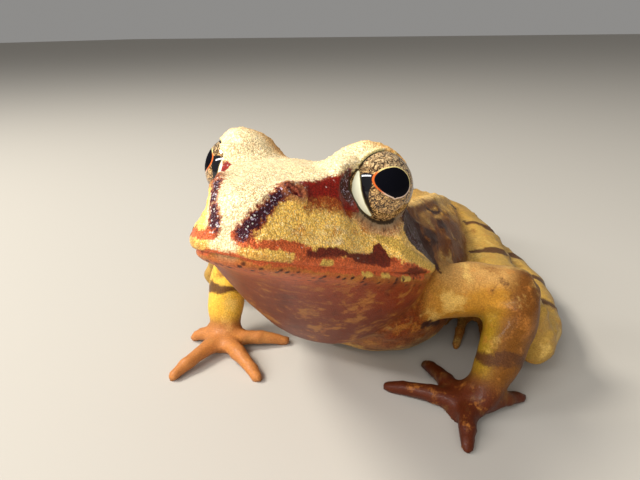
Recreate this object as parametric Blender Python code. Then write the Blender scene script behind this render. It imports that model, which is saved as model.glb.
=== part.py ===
"""Common frog, crouched with its head up and turned a little to its left, life size.

The body is modelled whole from lofted sections and round tapered limbs, and is then parted into
named pieces by thin cuts. X is the frog's left, -Y is the way its trunk faces, Z is up, and the
ground is Z = 0. Sizes are in millimetres until the last step, which sets each piece in metres.
"""

import math

import bmesh
import bpy
import numpy as np
from mathutils import Matrix, Vector

# Driving sizes, in millimetres and degrees
SIDES = ("left", "right")
GAP = 0.3                    # clear space left by every cut
SNOUT = Vector((0.0, -32.0, 26.5))   # snout tip before the head is turned
NECK = Vector((0.0, -12.0, 0.0))     # upright axis that the head turns about
HEAD_YAW = 7.0              # turn to the frog's left
HEAD_PITCH = 21.0            # snout up
HEAD_ROLL = 2.5              # right side up
EYE_CENTRE = (6.7, 13.5, 3.6)        # left, back and up from the snout tip
EYE_RADIUS = 3.2
LID_AXIS = (52.0, -4.0)      # the lid opening looks this far out from forward, and this far up
LID_RIM = 1.1                # how far out from the eye's centre the lid rim stands
LID_FLARE = 1.3              # how much the opening widens in each millimetre past the rim
EYE_LUMP = (6.2, 12.9, 3.3)  # the swelling of the head over each eye
EYE_LUMP_RADII = (4.3, 5.1, 4.15)
TRIANGLES = {"core": 2860, "forelimb": 560, "thigh": 200, "shank": 190, "foot": 410}
EARDRUM = (9.9, 19.4, 0.9)   # left, back and up from the snout tip
EARDRUM_RADIUS = 2.0
EARDRUM_THICKNESS = 0.6
MOUTH_FRONT = -3.4           # level of the mouth line at the snout
MOUTH_DROP = 1.2             # degrees that the mouth line falls towards its corners
SOLE = 0.2                   # what hangs lower than this is flattened to the ground
RING = 40                    # points around a body section
TUBE_RING = 14               # points around a limb

# Head sections: back from the snout tip, jaw half width, lip level, half width and level of the
# ridge from nostril to eye, crown level, throat level
HEAD = (
    (0.0, 1.4, -2.3, 0.8, 0.1, 0.5, -3.0),
    (0.5, 2.5, -3.2, 1.5, 0.8, 1.1, -3.7),
    (1.6, 3.5, -3.4, 2.3, 1.3, 1.7, -4.1),
    (3.2, 4.5, -3.4, 3.0, 1.8, 2.3, -4.5),
    (6.0, 6.2, -3.4, 4.1, 2.6, 3.3, -5.1),
    (9.0, 8.0, -3.4, 5.2, 3.4, 4.3, -6.2),
    (13.0, 10.1, -3.4, 6.4, 4.1, 5.1, -8.2),
    (17.0, 11.5, -3.7, 7.2, 4.2, 5.0, -10.6),
    (20.5, 12.1, -4.0, 7.7, 3.4, 4.2, -12.4),
    (24.0, 11.4, -4.6, 7.6, 1.8, 2.7, -13.8),
    (28.0, 8.5, -5.0, 5.5, -0.8, 0.2, -13.0),
)

# Trunk sections: back along Y, sideways shift, half width, top level, widest level, belly level
TRUNK = (
    (-15.0, 0.4, 7.0, 19.0, 14.0, 9.0),
    (-12.0, 0.1, 9.8, 21.0, 12.0, 4.6),
    (-9.0, 0.0, 11.2, 21.2, 10.0, 1.6),
    (-5.0, 0.0, 12.2, 20.1, 8.5, -0.2),
    (1.0, 0.0, 12.8, 18.4, 7.5, -0.5),
    (8.0, 0.0, 11.6, 16.9, 7.2, -0.5),
    (15.0, 0.0, 9.8, 15.1, 7.2, -0.4),
    (21.0, 0.0, 8.4, 13.0, 7.2, 0.0),
    (26.5, 0.0, 7.0, 10.8, 6.8, 0.8),
    (30.0, 0.0, 5.7, 9.3, 6.4, 1.8),
    (32.6, 0.0, 4.0, 8.2, 6.0, 3.2),
    (33.8, 0.0, 2.0, 7.0, 5.6, 4.4),
)

# Limbs: points with their two half thicknesses, across and up
LEG = {
    "thigh": ((5.0, 25.5, 6.6, 4.6, 4.0), (9.8, 17.6, 6.2, 5.0, 3.9), (14.2, 8.6, 5.9, 4.4, 3.4),
              (18.2, 1.2, 6.4, 3.4, 3.1), (20.7, -2.8, 6.8, 2.6, 2.7)),
    "shank": ((22.0, -2.8, 4.1, 2.3, 2.6), (21.6, 3.0, 3.4, 2.8, 2.8), (19.2, 11.0, 3.3, 3.3, 3.0),
              (15.2, 19.0, 3.2, 2.8, 2.7), (11.2, 26.4, 2.8, 2.1, 2.2)),
    "tarsus": ((10.6, 27.6, 2.5, 1.7, 1.8), (10.8, 22.0, 1.8, 1.5, 1.4), (11.8, 15.5, 1.4, 1.9, 1.1)),
}
TOES = (
    ((10.8, 15.0), (8.8, 9.0)),
    ((11.4, 14.5), (10.4, 3.5)),
    ((12.0, 14.5), (13.0, -1.5)),
    ((12.6, 15.0), (16.0, 1.0)),
    ((12.6, 16.0), (16.4, 7.0)),
)
ARMS = {
    "left": {
        "upper_arm": ((9.4, -7.1, 9.9, 3.4, 3.4), (14.2, -6.1, 10.7, 3.0, 3.0),
                      (18.7, -5.4, 11.3, 2.7, 2.8)),
        "forearm": ((19.6, -5.6, 10.6, 2.6, 2.6), (19.3, -7.8, 7.4, 2.6, 2.5),
                    (18.3, -10.9, 3.6, 2.1, 1.8)),
        "palm": ((17.9, -11.5, 2.6, 2.3, 1.4), (16.5, -12.9, 1.2, 2.5, 1.1)),
        "fingers": (((15.6, -12.2), (10.6, -7.0)), ((15.2, -13.2), (7.9, -12.9)),
                    ((16.8, -13.8), (17.8, -18.4)), ((18.3, -12.4), (21.6, -8.6))),
    },
    "right": {
        "upper_arm": ((-7.6, -5.9, 10.4, 3.4, 3.6), (-11.4, -7.3, 10.6, 3.0, 3.2),
                      (-14.4, -8.9, 10.0, 2.7, 2.8)),
        "forearm": ((-14.8, -9.2, 9.2, 2.5, 2.5), (-14.9, -10.6, 6.4, 2.4, 2.3),
                    (-14.4, -12.1, 3.2, 2.0, 1.7)),
        "palm": ((-14.3, -12.3, 2.4, 2.1, 1.3), (-13.6, -13.4, 1.1, 2.3, 1.0)),
        "fingers": (((-12.7, -13.0), (-7.0, -9.6)), ((-12.7, -14.2), (-6.2, -17.6)),
                    ((-13.9, -14.5), (-15.2, -21.7)), ((-15.1, -13.4), (-18.3, -13.9))),
    },
}
CORE_PLACES = {"head": (1.0, -20.0, 24.0), "lower_jaw": (1.0, -21.0, 15.0), "trunk": (0.0, 5.0, 9.0)}
FORELIMB_PARTS = (("upper_arm", "upper_arm"), ("forearm", "forearm"), ("hand", "palm"))
FINGER = (1.15, 0.72)        # half thickness at a finger's root and at its tip
TOE = (0.95, 0.6)
WEB_THICKNESS = 0.8

# Skin and eye colours: base colour, roughness
SKIN = ((0.62, 0.40, 0.16), 0.45)
SKIN_TONES = {"lower": ((0.50, 0.16, 0.07), 0.45), "trunk": ((0.50, 0.30, 0.10), 0.5),
              "hand": ((0.50, 0.20, 0.10), 0.45), "foot": ((0.50, 0.24, 0.10), 0.45),
              "eardrum": ((0.16, 0.07, 0.04), 0.4)}
EYE_SHELL = ((0.05, 0.035, 0.02), 0.1)


def clear_scene():
    for obj in list(bpy.data.objects):
        bpy.data.objects.remove(obj, do_unlink=True)


def head_matrix():
    """From the head's own axes (left, back, up; zero at the snout tip) to the body's axes."""
    yaw = Matrix.Rotation(math.radians(HEAD_YAW), 4, "Z")
    pitch = Matrix.Rotation(math.radians(-HEAD_PITCH), 4, "X")
    roll = Matrix.Rotation(math.radians(HEAD_ROLL), 4, "Y")
    return Matrix.Translation(NECK) @ yaw @ Matrix.Translation(SNOUT - NECK) @ pitch @ roll


def between(rows, steps):
    """Rows of numbers joined by a Catmull-Rom curve, with steps samples from row to row."""
    rows = np.array(rows, dtype=float)
    ends = np.vstack((2 * rows[0] - rows[1], rows, 2 * rows[-1] - rows[-2]))
    samples = [spline_point(ends, i, k / steps) for i in range(len(rows) - 1) for k in range(steps)]
    return np.array(samples + [rows[-1]])


def closed_curve(points, count):
    """count points around a closed Catmull-Rom curve."""
    points = np.array(points, dtype=float)
    ring = np.vstack((points[-1:], points, points[:2]))
    where = np.arange(count) * len(points) / count
    return [spline_point(ring, int(s), s - int(s)) for s in where]


def spline_point(points, i, t):
    a, b, c, d = points[i:i + 4]
    return 0.5 * (2 * b + (c - a) * t + (2 * a - 5 * b + 4 * c - d) * t ** 2
                  + (3 * b - a - 3 * c + d) * t ** 3)


def loft(rings):
    """A closed body through rings of points, with flat ends."""
    bm = bmesh.new()
    loops = []
    for ring in rings:
        made = bmesh.ops.create_circle(bm, cap_ends=False, segments=len(ring), radius=1.0)
        for vert, point in zip(made["verts"], ring):
            vert.co = point
        loops.append(sorted({e for v in made["verts"] for e in v.link_edges},
                            key=lambda e: tuple(sorted(v.index for v in e.verts))))
        bm.verts.index_update()
    for near, far in zip(loops, loops[1:]):
        bmesh.ops.bridge_loops(bm, edges=near + far)
    bmesh.ops.holes_fill(bm, edges=loops[0] + loops[-1], sides=0)
    bmesh.ops.recalc_face_normals(bm, faces=bm.faces)
    return bm


def head_section(row):
    """The outline of one head section, seen from the front, as points left and up."""
    back, jaw, lip, ridge, ridge_level, crown, throat = row
    side = 0.5 * (ridge + jaw) - 0.1
    half = ((0.55 * ridge, crown - 0.2 * (crown - ridge_level)), (ridge, ridge_level),
            (side, 0.5 * (ridge_level + lip)), (jaw, lip + 1.2), (0.97 * jaw, lip),
            (0.86 * jaw, lip + 0.35 * (throat - lip)), (0.45 * jaw, lip + 0.85 * (throat - lip)))
    mirrored = tuple((-x, z) for x, z in reversed(half))
    outline = ((0.0, crown),) + half + ((0.0, throat),) + mirrored
    return [Vector((x, back, z)) for x, z in closed_curve(outline, RING)]


def trunk_section(row):
    """The outline of one trunk section: squarer below than above."""
    back, shift, width, top, middle, belly = row
    points = []
    for k in range(RING):
        angle = 2 * math.pi * k / RING
        c, s = math.cos(angle), math.sin(angle)
        power = 2 / (2.3 if s > 0 else 2.6)
        height = top - middle if s > 0 else middle - belly
        x = math.copysign(abs(c) ** power, c) * width
        z = math.copysign(abs(s) ** power, s) * height
        points.append(Vector((shift + x, back, middle + z)))
    return points


def tube(points, steps=4, around=TUBE_RING):
    """A limb with round ends through points that carry their half thickness across and up."""
    rows = between(points, steps)
    rings = []
    for k, row in enumerate(rows):
        along = Vector(rows[min(k + 1, len(rows) - 1)][:3] - rows[max(k - 1, 0)][:3]).normalized()
        across = along.cross(Vector((0.0, 0.0, 1.0))).normalized()
        up = across.cross(along)
        for turn in end_turns(k, len(rows)):
            centre = Vector(row[:3]) + along * math.sin(turn) * row[3]
            rings.append([centre + across * math.cos(a) * row[3] * math.cos(turn)
                          + up * math.sin(a) * row[4] * math.cos(turn)
                          for a in np.arange(around) * 2 * math.pi / around])
    return loft(rings)


def end_turns(k, count):
    """Angles of the extra rings that round off the two ends of a limb."""
    quarter = [math.radians(a) for a in (70, 35)]
    if k == 0:
        return [-q for q in quarter] + [0.0]
    if k == count - 1:
        return [0.0] + quarter[::-1]
    return [0.0]


def ball(centre, radii, matrix=None):
    bm = bmesh.new()
    bmesh.ops.create_uvsphere(bm, u_segments=20, v_segments=10, radius=1.0)
    bmesh.ops.scale(bm, vec=radii, verts=bm.verts)
    bmesh.ops.translate(bm, vec=centre, verts=bm.verts)
    if matrix:
        bmesh.ops.transform(bm, matrix=matrix, verts=bm.verts)
    return bm


def digit(root, tip, thick, level=1.3):
    """A finger or toe that arches a little from its root and lies flat at its tip."""
    root, tip = np.array(root), np.array(tip)
    rows = []
    for t in (0.0, 0.35, 0.7, 1.0):
        across = thick[0] + (thick[1] - thick[0]) * t
        rise = level * (1 - t) + 0.65 * across * t + 0.3 * math.sin(math.pi * t)
        rows.append((*(root + (tip - root) * t), rise, across, 0.92 * across))
    return tube(rows, steps=3, around=10)


def web(toes):
    """The skin between the toes: a thin fan to about half their length."""
    bm = bmesh.new()
    for (root_a, tip_a), (root_b, tip_b) in zip(toes, toes[1:]):
        ends = [Vector((*root_a, 1.0)), Vector((*root_b, 1.0))]
        reach = [Vector((*root, 1.0)).lerp(Vector((*tip, 0.6)), 0.6)
                 for root, tip in ((root_b, tip_b), (root_a, tip_a))]
        hollow = [Vector((*root_a, 1.0)).lerp(Vector((*tip_b, 0.6)), 0.42)]
        face = bm.faces.new([bm.verts.new(p) for p in ends + reach[:1] + hollow + reach[1:]])
        face.normal_update()
    bmesh.ops.recalc_face_normals(bm, faces=bm.faces)
    bmesh.ops.solidify(bm, geom=bm.faces[:], thickness=WEB_THICKNESS)
    bmesh.ops.recalc_face_normals(bm, faces=bm.faces)
    return bm


def as_object(name, bm):
    mesh = bpy.data.meshes.new(name)
    bm.to_mesh(mesh)
    bm.free()
    obj = bpy.data.objects.new(name, mesh)
    bpy.context.scene.collection.objects.link(obj)
    return obj


def joined(name, shapes):
    """One object from several closed shapes."""
    whole = bmesh.new()
    for bm in shapes:
        mesh = bpy.data.meshes.new(name)
        bm.to_mesh(mesh)
        bm.free()
        whole.from_mesh(mesh)
        bpy.data.meshes.remove(mesh)
    return as_object(name, whole)


def settle(obj):
    """Fix the result of an object's modifiers in its mesh."""
    graph = bpy.context.evaluated_depsgraph_get()
    graph.update()
    mesh = bpy.data.meshes.new_from_object(obj.evaluated_get(graph))
    obj.modifiers.clear()
    old = obj.data
    obj.data = mesh
    bpy.data.meshes.remove(old)
    return obj


def fused(name, shapes, voxel, soften, triangles):
    """Shapes grown together into one smooth body with about the given number of triangles."""
    obj = joined(name, shapes)
    remesh = obj.modifiers.new("Grow together", "REMESH")
    remesh.mode = "VOXEL"
    remesh.voxel_size = voxel
    smooth = obj.modifiers.new("Soften", "SMOOTH")
    smooth.iterations = soften
    settle(obj)
    lighten = obj.modifiers.new("Lighten", "DECIMATE")
    lighten.ratio = triangles / (2 * len(obj.data.polygons))
    settle(obj)
    for vert in obj.data.vertices:
        if vert.co.z < SOLE:
            vert.co.z = 0.0
    return obj


def carve(obj, cutters):
    """Take the cutters away from an object."""
    for cutter in cutters:
        cut = obj.modifiers.new("Cut", "BOOLEAN")
        cut.operation = "DIFFERENCE"
        cut.solver = "EXACT"
        cut.object = cutter
        settle(obj)
    return tidy(obj)


def tidy(obj):
    bm = bmesh.new()
    bm.from_mesh(obj.data)
    bmesh.ops.remove_doubles(bm, verts=bm.verts, dist=0.002)
    bmesh.ops.dissolve_degenerate(bm, edges=bm.edges, dist=0.002)
    bmesh.ops.triangulate(bm, faces=bm.faces)
    bm.to_mesh(obj.data)
    bm.free()
    return obj


def grown(obj, distance=GAP):
    """A cutter: a copy of an object with its surface moved outwards."""
    cutter = obj.copy()
    cutter.data = obj.data.copy()
    cutter.name = "cutter"
    bpy.context.scene.collection.objects.link(cutter)
    swell = cutter.modifiers.new("Swell", "DISPLACE")
    swell.mid_level = 0.0
    swell.strength = distance
    return settle(cutter)


def slab(centre, normal, radius):
    """A cutter: a thin round plate, square to normal."""
    bm = bmesh.new()
    turn = Vector(normal).to_track_quat("Z", "Y").to_matrix().to_4x4()
    bmesh.ops.create_cone(bm, cap_ends=True, segments=48, radius1=radius, radius2=radius, depth=GAP,
                          matrix=Matrix.Translation(centre) @ turn)
    return as_object("cutter", bm)


def islands(obj):
    """The separate bodies of an object, each as a new object with its middle point."""
    bm = bmesh.new()
    bm.from_mesh(obj.data)
    bm.verts.ensure_lookup_table()
    seen = set()
    bodies = []
    for start in bm.verts:
        if start.index in seen:
            continue
        body, queue = [], [start]
        seen.add(start.index)
        while queue:
            vert = queue.pop()
            body.append(vert.index)
            for edge in vert.link_edges:
                other = edge.other_vert(vert)
                if other.index not in seen:
                    seen.add(other.index)
                    queue.append(other)
        bodies.append(set(body))
    pieces = []
    for body in bodies:
        piece = bm.copy()
        piece.verts.ensure_lookup_table()
        bmesh.ops.delete(piece, geom=[v for v in piece.verts if v.index not in body], context="VERTS")
        middle = sum((v.co for v in piece.verts), Vector()) / len(piece.verts)
        pieces.append((middle, len(piece.verts), as_object("piece", piece)))
    bm.free()
    bpy.data.objects.remove(obj, do_unlink=True)
    return pieces


def name_pieces(obj, places):
    """Name the largest bodies after the places that their middles are nearest to; drop slivers."""
    named = {}
    for middle, _, piece in sorted(islands(obj), key=lambda item: -item[1]):
        name = min(places, key=lambda key: (Vector(places[key]) - middle).length)
        if name in named:
            bpy.data.objects.remove(piece, do_unlink=True)
            continue
        piece.name = name
        named[name] = piece
    return named


def mirrored(points, side):
    """Points given for the left side, moved to the right side when asked."""
    sign = 1 if side == "left" else -1
    return tuple(Vector((sign * p[0], *p[1:])) for p in points)


def lid_axis(side):
    out, up = (math.radians(a) for a in LID_AXIS)
    sign = 1 if side == "left" else -1
    return Vector((sign * math.sin(out) * math.cos(up), -math.cos(out) * math.cos(up), math.sin(up)))


def eye_place(side):
    sign = 1 if side == "left" else -1
    return Vector((sign * EYE_CENTRE[0], EYE_CENTRE[1], EYE_CENTRE[2]))


def eye_cutter(side, matrix):
    """The hole for an eye: a ball with room round it, and a flare outwards from the lid rim."""
    bm = ball(eye_place(side), (EYE_RADIUS + GAP,) * 3)
    hole = as_object("cutter", bm)
    depth = 4.0
    rim = math.sqrt((EYE_RADIUS + GAP) ** 2 - LID_RIM ** 2)
    axis = lid_axis(side)
    turn = axis.to_track_quat("Z", "Y").to_matrix().to_4x4()
    flare = bmesh.new()
    middle = eye_place(side) + axis * (LID_RIM + depth / 2)
    bmesh.ops.create_cone(flare, cap_ends=True, segments=24, radius1=rim, radius2=rim + LID_FLARE * depth,
                          depth=depth, matrix=Matrix.Translation(middle) @ turn)
    flare_obj = as_object("cutter", flare)
    both = hole.modifiers.new("Join", "BOOLEAN")
    both.operation = "UNION"
    both.solver = "EXACT"
    both.object = flare_obj
    settle(hole)
    bpy.data.objects.remove(flare_obj, do_unlink=True)
    hole.data.transform(matrix)
    return hole


def make_core():
    """Head and trunk as one body."""
    to_body = head_matrix()
    shapes = []
    head = loft([head_section(row) for row in between(HEAD, 3)])
    for side in SIDES:
        lump = ball(mirrored((EYE_LUMP,), side)[0], EYE_LUMP_RADII)
        bmesh.ops.transform(lump, matrix=to_body, verts=lump.verts)
        shapes.append(lump)
    bmesh.ops.transform(head, matrix=to_body, verts=head.verts)
    shapes += [head, loft([trunk_section(row) for row in between(TRUNK, 3)])]
    return fused("core", shapes, 0.45, 6, TRIANGLES["core"])


def core_cuts():
    """The thin plates that part the core at the neck and mouth."""
    to_body = head_matrix()
    turn = to_body.to_3x3()
    drop = math.radians(MOUTH_DROP)
    neck = to_body @ Vector((0.0, 22.4, -3.0))
    mouth = to_body @ Vector((0.0, 11.0, MOUTH_FRONT - 11.0 * math.tan(drop)))
    return [slab(neck, turn @ Vector((0.0, 1.0, 0.1)), 17.0),
            slab(mouth, turn @ Vector((0.0, math.sin(drop), math.cos(drop))), 24.0)]


def make_forelimb(side):
    """Upper arm, forearm and hand in one body."""
    arm = ARMS[side]
    shapes = [tube(arm["upper_arm"]), tube(arm["forearm"]), tube(arm["palm"])]
    shapes += [digit(root, tip, FINGER) for root, tip in arm["fingers"]]
    return fused("forelimb", shapes, 0.28, 4, TRIANGLES["forelimb"])


def forelimb_cuts(side):
    """The thin plates that part a forelimb at the elbow and wrist."""
    arm = ARMS[side]
    elbow, middle, wrist = (Vector(row[:3]) for row in arm["forearm"])
    down = middle - elbow
    return [slab(elbow + down * 0.3, down + (elbow - Vector(arm["upper_arm"][1][:3])) * 0.35, 4.2),
            slab(wrist + (wrist - middle) * 0.08, wrist - middle, 4.0)]


def make_segment(name, side):
    """The thigh or the shank of one leg."""
    return fused(name + "_" + side, [tube(mirrored(LEG[name], side))], 0.4, 2, TRIANGLES[name])


def make_foot(side):
    toes = [mirrored(toe, side) for toe in TOES]
    shapes = [tube(mirrored(LEG["tarsus"], side)), web(toes)] + [digit(*toe, TOE) for toe in toes]
    return fused("foot_" + side, shapes, 0.28, 2, TRIANGLES["foot"])


def make_eardrum(side, head):
    """A round disc let into a shallow recess behind the eye; the recess is cut in the head."""
    to_body = head_matrix()
    near = to_body @ mirrored((EARDRUM,), side)[0]
    _, surface, normal, _ = head.closest_point_on_mesh(near)
    turn = normal.to_track_quat("Z", "Y").to_matrix().to_4x4()

    def disc(radius, inner, outer):
        bm = bmesh.new()
        bmesh.ops.create_cone(bm, cap_ends=True, segments=20, radius1=radius, radius2=radius,
                              depth=outer - inner,
                              matrix=Matrix.Translation(surface + normal * (inner + outer) / 2) @ turn)
        return bm

    carve(head, [as_object("cutter", disc(EARDRUM_RADIUS + GAP, -EARDRUM_THICKNESS - GAP, 2.0))])
    return as_object("eardrum_" + side, disc(EARDRUM_RADIUS, -EARDRUM_THICKNESS, 0.0))


def make_skin_pieces():
    """Every piece of the body under the skin, parted from its neighbours."""
    core = make_core()
    whole_core = grown(core)
    carve(core, core_cuts())
    pieces = name_pieces(core, CORE_PLACES)
    for side in SIDES:
        forelimb = carve(make_forelimb(side), [whole_core])
        whole_arm = grown(forelimb)
        carve(forelimb, forelimb_cuts(side))
        places = {part + "_" + side: ARMS[side][source][1][:3] for part, source in FORELIMB_PARTS}
        pieces.update(name_pieces(forelimb, places))
        thigh = carve(make_segment("thigh", side), [whole_core, whole_arm])
        shank = carve(make_segment("shank", side), [whole_core, whole_arm, grown(thigh)])
        foot = carve(make_foot(side), [whole_core, whole_arm, grown(thigh), grown(shank)])
        pieces.update({piece.name: piece for piece in (thigh, shank, foot)})
    for side in SIDES:
        carve(pieces["head"], [eye_cutter(side, head_matrix())])
        pieces["eardrum_" + side] = make_eardrum(side, pieces["head"])
    return pieces


def drop_cutters():
    for obj in list(bpy.data.objects):
        if obj.name.startswith("cutter"):
            bpy.data.objects.remove(obj, do_unlink=True)


def set_down(objects):
    """Put the middle of the model's underside at the origin, and turn millimetres to metres."""
    corners = np.array([v.co for obj in objects for v in obj.data.vertices])
    low, high = corners.min(axis=0), corners.max(axis=0)
    middle = Vector(((low[0] + high[0]) / 2, (low[1] + high[1]) / 2, low[2]))
    for obj in objects:
        obj.data.transform(Matrix.Scale(0.001, 4) @ Matrix.Translation(-middle))


def finish(name, colour, roughness):
    material = bpy.data.materials.new(name)
    material.use_nodes = True
    shader = material.node_tree.nodes["Principled BSDF"]
    shader.inputs["Base Color"].default_value = (*colour, 1.0)
    shader.inputs["Roughness"].default_value = roughness
    material.diffuse_color = (*colour, 1.0)
    return material


def main():
    clear_scene()
    pieces = make_skin_pieces()
    for side in SIDES:
        eye = ball(mirrored((EYE_CENTRE,), side)[0], (EYE_RADIUS,) * 3, head_matrix())
        pieces["eye_" + side] = as_object("eye_" + side, eye)
    drop_cutters()
    set_down(pieces.values())
    for name, piece in sorted(pieces.items()):
        kind = name.split("_")[0]
        colour, roughness = EYE_SHELL if kind == "eye" else SKIN_TONES.get(kind, SKIN)
        piece.data.materials.clear()
        piece.data.materials.append(finish(name, colour, roughness))
        if kind != "eardrum":
            piece.data.shade_smooth()


main()
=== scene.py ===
"""Common frog, still and life size: its skin, eyes, floor, lights and camera."""

import math

import bmesh
import bpy
import numpy as np
from bpy.props import FloatProperty, FloatVectorProperty, IntProperty, PointerProperty
from mathutils import Matrix, Vector
from mathutils.bvhtree import BVHTree


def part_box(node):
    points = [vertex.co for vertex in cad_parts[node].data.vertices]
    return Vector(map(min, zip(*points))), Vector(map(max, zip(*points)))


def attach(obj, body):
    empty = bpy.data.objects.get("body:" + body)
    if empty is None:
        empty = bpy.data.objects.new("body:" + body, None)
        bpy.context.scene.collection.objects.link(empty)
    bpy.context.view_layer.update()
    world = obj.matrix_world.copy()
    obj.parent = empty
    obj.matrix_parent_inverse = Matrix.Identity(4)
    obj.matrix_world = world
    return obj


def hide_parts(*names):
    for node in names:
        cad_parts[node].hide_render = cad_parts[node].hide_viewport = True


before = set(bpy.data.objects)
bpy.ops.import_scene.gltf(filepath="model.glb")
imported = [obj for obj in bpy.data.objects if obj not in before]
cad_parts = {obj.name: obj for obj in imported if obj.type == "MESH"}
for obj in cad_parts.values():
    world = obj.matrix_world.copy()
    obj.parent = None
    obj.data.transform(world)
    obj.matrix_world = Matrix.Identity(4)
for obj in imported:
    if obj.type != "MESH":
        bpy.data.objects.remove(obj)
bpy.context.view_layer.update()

bl_info = {
    "name": "Common frog",
    "version": (1, 0, 0),
    "blender": (4, 5, 0),
    "location": "View3D > Sidebar > Frog",
    "description": "Skin, eyes and stage of a still, life-size common frog",
    "category": "Object",
}

MM = 0.001
SIDES = {"left": 1.0, "right": -1.0}

# The head as it is set in the solids: its turn, and the eyes in its own axes, which run left,
# back and up from the snout tip, in millimetres
HEAD_YAW = 7.0
HEAD_PITCH = 21.0
HEAD_ROLL = 2.5
EYE_AT = (6.7, 13.5, 3.6)
EYE_RADIUS = 3.2
LID_LOOKS = (52.0, -4.0)     # degrees out from forward and up that the lid opening faces
PUPIL_LOOKS = {"left": (43.0, 6.0), "right": (60.0, 6.0)}    # the same for the pupils
MOUTH_LEVEL = -3.4           # of the mouth line at the snout
MOUTH_DROP = 1.2             # degrees that the mouth line falls towards its corners
LID_GAP = 0.2                # how far the lids' edge stands off the eyeball
LID_TUCK = 0.3               # how far under the eyeball's surface the rolled edge goes
SOCKET_DEPTH = 0.5           # how far under it the skin behind the edge lies
HEAD_END = 26.0              # the head's fine mesh is evened out this far back

# How many degrees from its axis each lid opening reaches, by degrees round that axis: 0 is
# towards the snout and 90 is up
LID_ROUND = (-180, -125, -94, -65, -38, -15, -3, 10, 17, 36, 97, 140, 180)
LID_RIM = 70.0               # where the solids' own rim lies
LID_OPENS = {
    "left": (68.0, 66.0, 66.0, 68.0, 73.0, 82.5, 86.0, 82.0, 76.0, 75.0, 74.0, 70.0, 68.0),
    "right": (66.0, 61.0, 55.0, 53.0, 56.0, 66.0, 70.0, 66.0, 60.0, 51.0, 50.0, 56.0, 65.0),
}

# Chains of points in the head's own axes, in millimetres, each point with the half width of the
# marking there; the left side is given, and serves for both
CANTHUS = ((2.6, 2.6, 2.0, 0.0), (3.3, 5.3, 2.7, 0.0), (4.4, 8.0, 3.4, 0.0), (5.2, 9.2, 3.9, 0.0))
MASK = ((2.6, 2.9, 1.7, 0.55), (3.3, 4.4, 1.85, 0.8), (4.0, 6.2, 2.35, 0.62),
        (4.7, 7.6, 2.65, 0.98), (5.2, 8.9, 2.6, 1.4), (5.4, 10.2, 2.5, 1.6))
MASK_GLOW = ((3.4, 4.6, 1.0, 0.7), (4.2, 6.4, 1.5, 0.9), (5.2, 8.4, 1.4, 1.0), (5.6, 9.4, 1.0, 0.7))
EYE_FRONT = ((5.0, 9.7, 3.75, 0.8), (5.1, 9.8, 3.0, 0.95), (5.35, 10.1, 2.0, 0.65),
             (5.5, 10.4, 1.5, 0.3))
SNOUT_STRIPES = {
    "left": ((2.75, 2.7, 1.9, 0.5), (2.5, 1.9, 1.1, 0.42), (2.15, 1.1, 0.2, 0.45),
             (1.75, 0.5, -0.6, 0.5), (1.4, 0.25, -1.15, 0.55), (1.15, 0.1, -1.5, 0.5)),
    "right": ((2.45, 2.3, 1.7, 0.34), (1.95, 1.3, 1.1, 0.34), (1.5, 0.7, 0.4, 0.36),
              (1.05, 0.25, -0.5, 0.4), (0.75, 0.05, -1.3, 0.42)),
}
LIP_BAND = ((0.95, 0.05, -1.75, 0.5), (1.5, 0.25, -2.05, 0.4), (2.1, 0.5, -2.15, 0.4),
            (2.9, 1.3, -2.05, 0.42), (3.8, 2.6, -2.1, 0.5), (4.5, 3.8, -2.5, 0.6))
LIP_ZONE = ((4.0, 2.9, -3.1, 0.45), (5.4, 5.2, -3.0, 0.8), (7.2, 9.0, -3.0, 0.85),
            (8.8, 12.0, -2.95, 0.85), (10.4, 14.8, -3.2, 0.75), (11.6, 18.2, -3.7, 0.55))
CHIN_EDGE = ((-0.6, 0.0, -3.15, 0.3), (1.1, 0.2, -3.2, 0.3), (3.0, 1.6, -3.3, 0.3),
             (4.4, 3.4, -3.3, 0.3))
LIP_LOBES = (
    ((4.6, 3.6, -2.5, 0.22), (5.3, 4.8, -2.3, 0.42), (6.1, 6.2, -2.15, 0.36),
     (6.9, 8.0, -2.35, 0.25)),
    ((7.0, 8.2, -2.5, 0.45), (7.8, 10.2, -2.6, 0.5), (8.5, 11.7, -2.5, 0.85),
     (8.3, 11.4, -1.8, 0.75)),
    ((8.5, 12.2, -2.7, 0.6), (9.7, 13.8, -2.95, 0.65), (10.6, 15.4, -3.2, 0.55),
     (11.5, 17.6, -3.6, 0.4)),
)
CHEEK_STRIPE = ((7.2, 12.0, -0.9, 0.5), (8.8, 13.2, -1.15, 0.55), (10.2, 14.2, -1.85, 0.6),
                (11.4, 17.0, -2.5, 0.5), (12.0, 20.0, -3.1, 0.4))
LIP_SPOTS = (
    ((5.5, 5.0, -2.95, 0.27), (5.9, 5.75, -2.97, 0.27)),
    ((7.6, 9.4, -3.75, 0.22), (8.1, 10.3, -3.75, 0.22)),
    ((8.8, 11.6, -3.75, 0.22), (9.2, 12.3, -3.8, 0.2)),
    ((10.2, 14.3, -4.0, 0.3), (10.7, 15.4, -4.1, 0.3)),
)
CHEEK_MASK = ((8.8, 16.0, 3.0, 1.3), (9.9, 16.9, 1.0, 1.6), (10.5, 17.8, -0.5, 1.4),
              (11.4, 19.2, -1.6, 1.0), (11.9, 21.5, -2.6, 1.3))
EAR_MASK = ((8.6, 19.0, 2.6, 1.6), (9.5, 20.0, 0.5, 1.9), (10.5, 20.4, -1.0, 1.6))
LOWER_LID = ((5.2, 8.8, 2.2, 0.0), (5.8, 10.0, 0.9, 0.0), (6.8, 11.8, 0.0, 0.0),
             (8.3, 13.7, -0.2, 0.0), (9.6, 15.9, 1.0, 0.0))
CHEEK_FOLD = ((7.6, 12.6, -1.3, 0.0), (9.2, 13.9, -1.5, 0.0), (10.6, 15.6, -2.0, 0.0),
              (11.6, 18.6, -2.9, 0.0))
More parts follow.
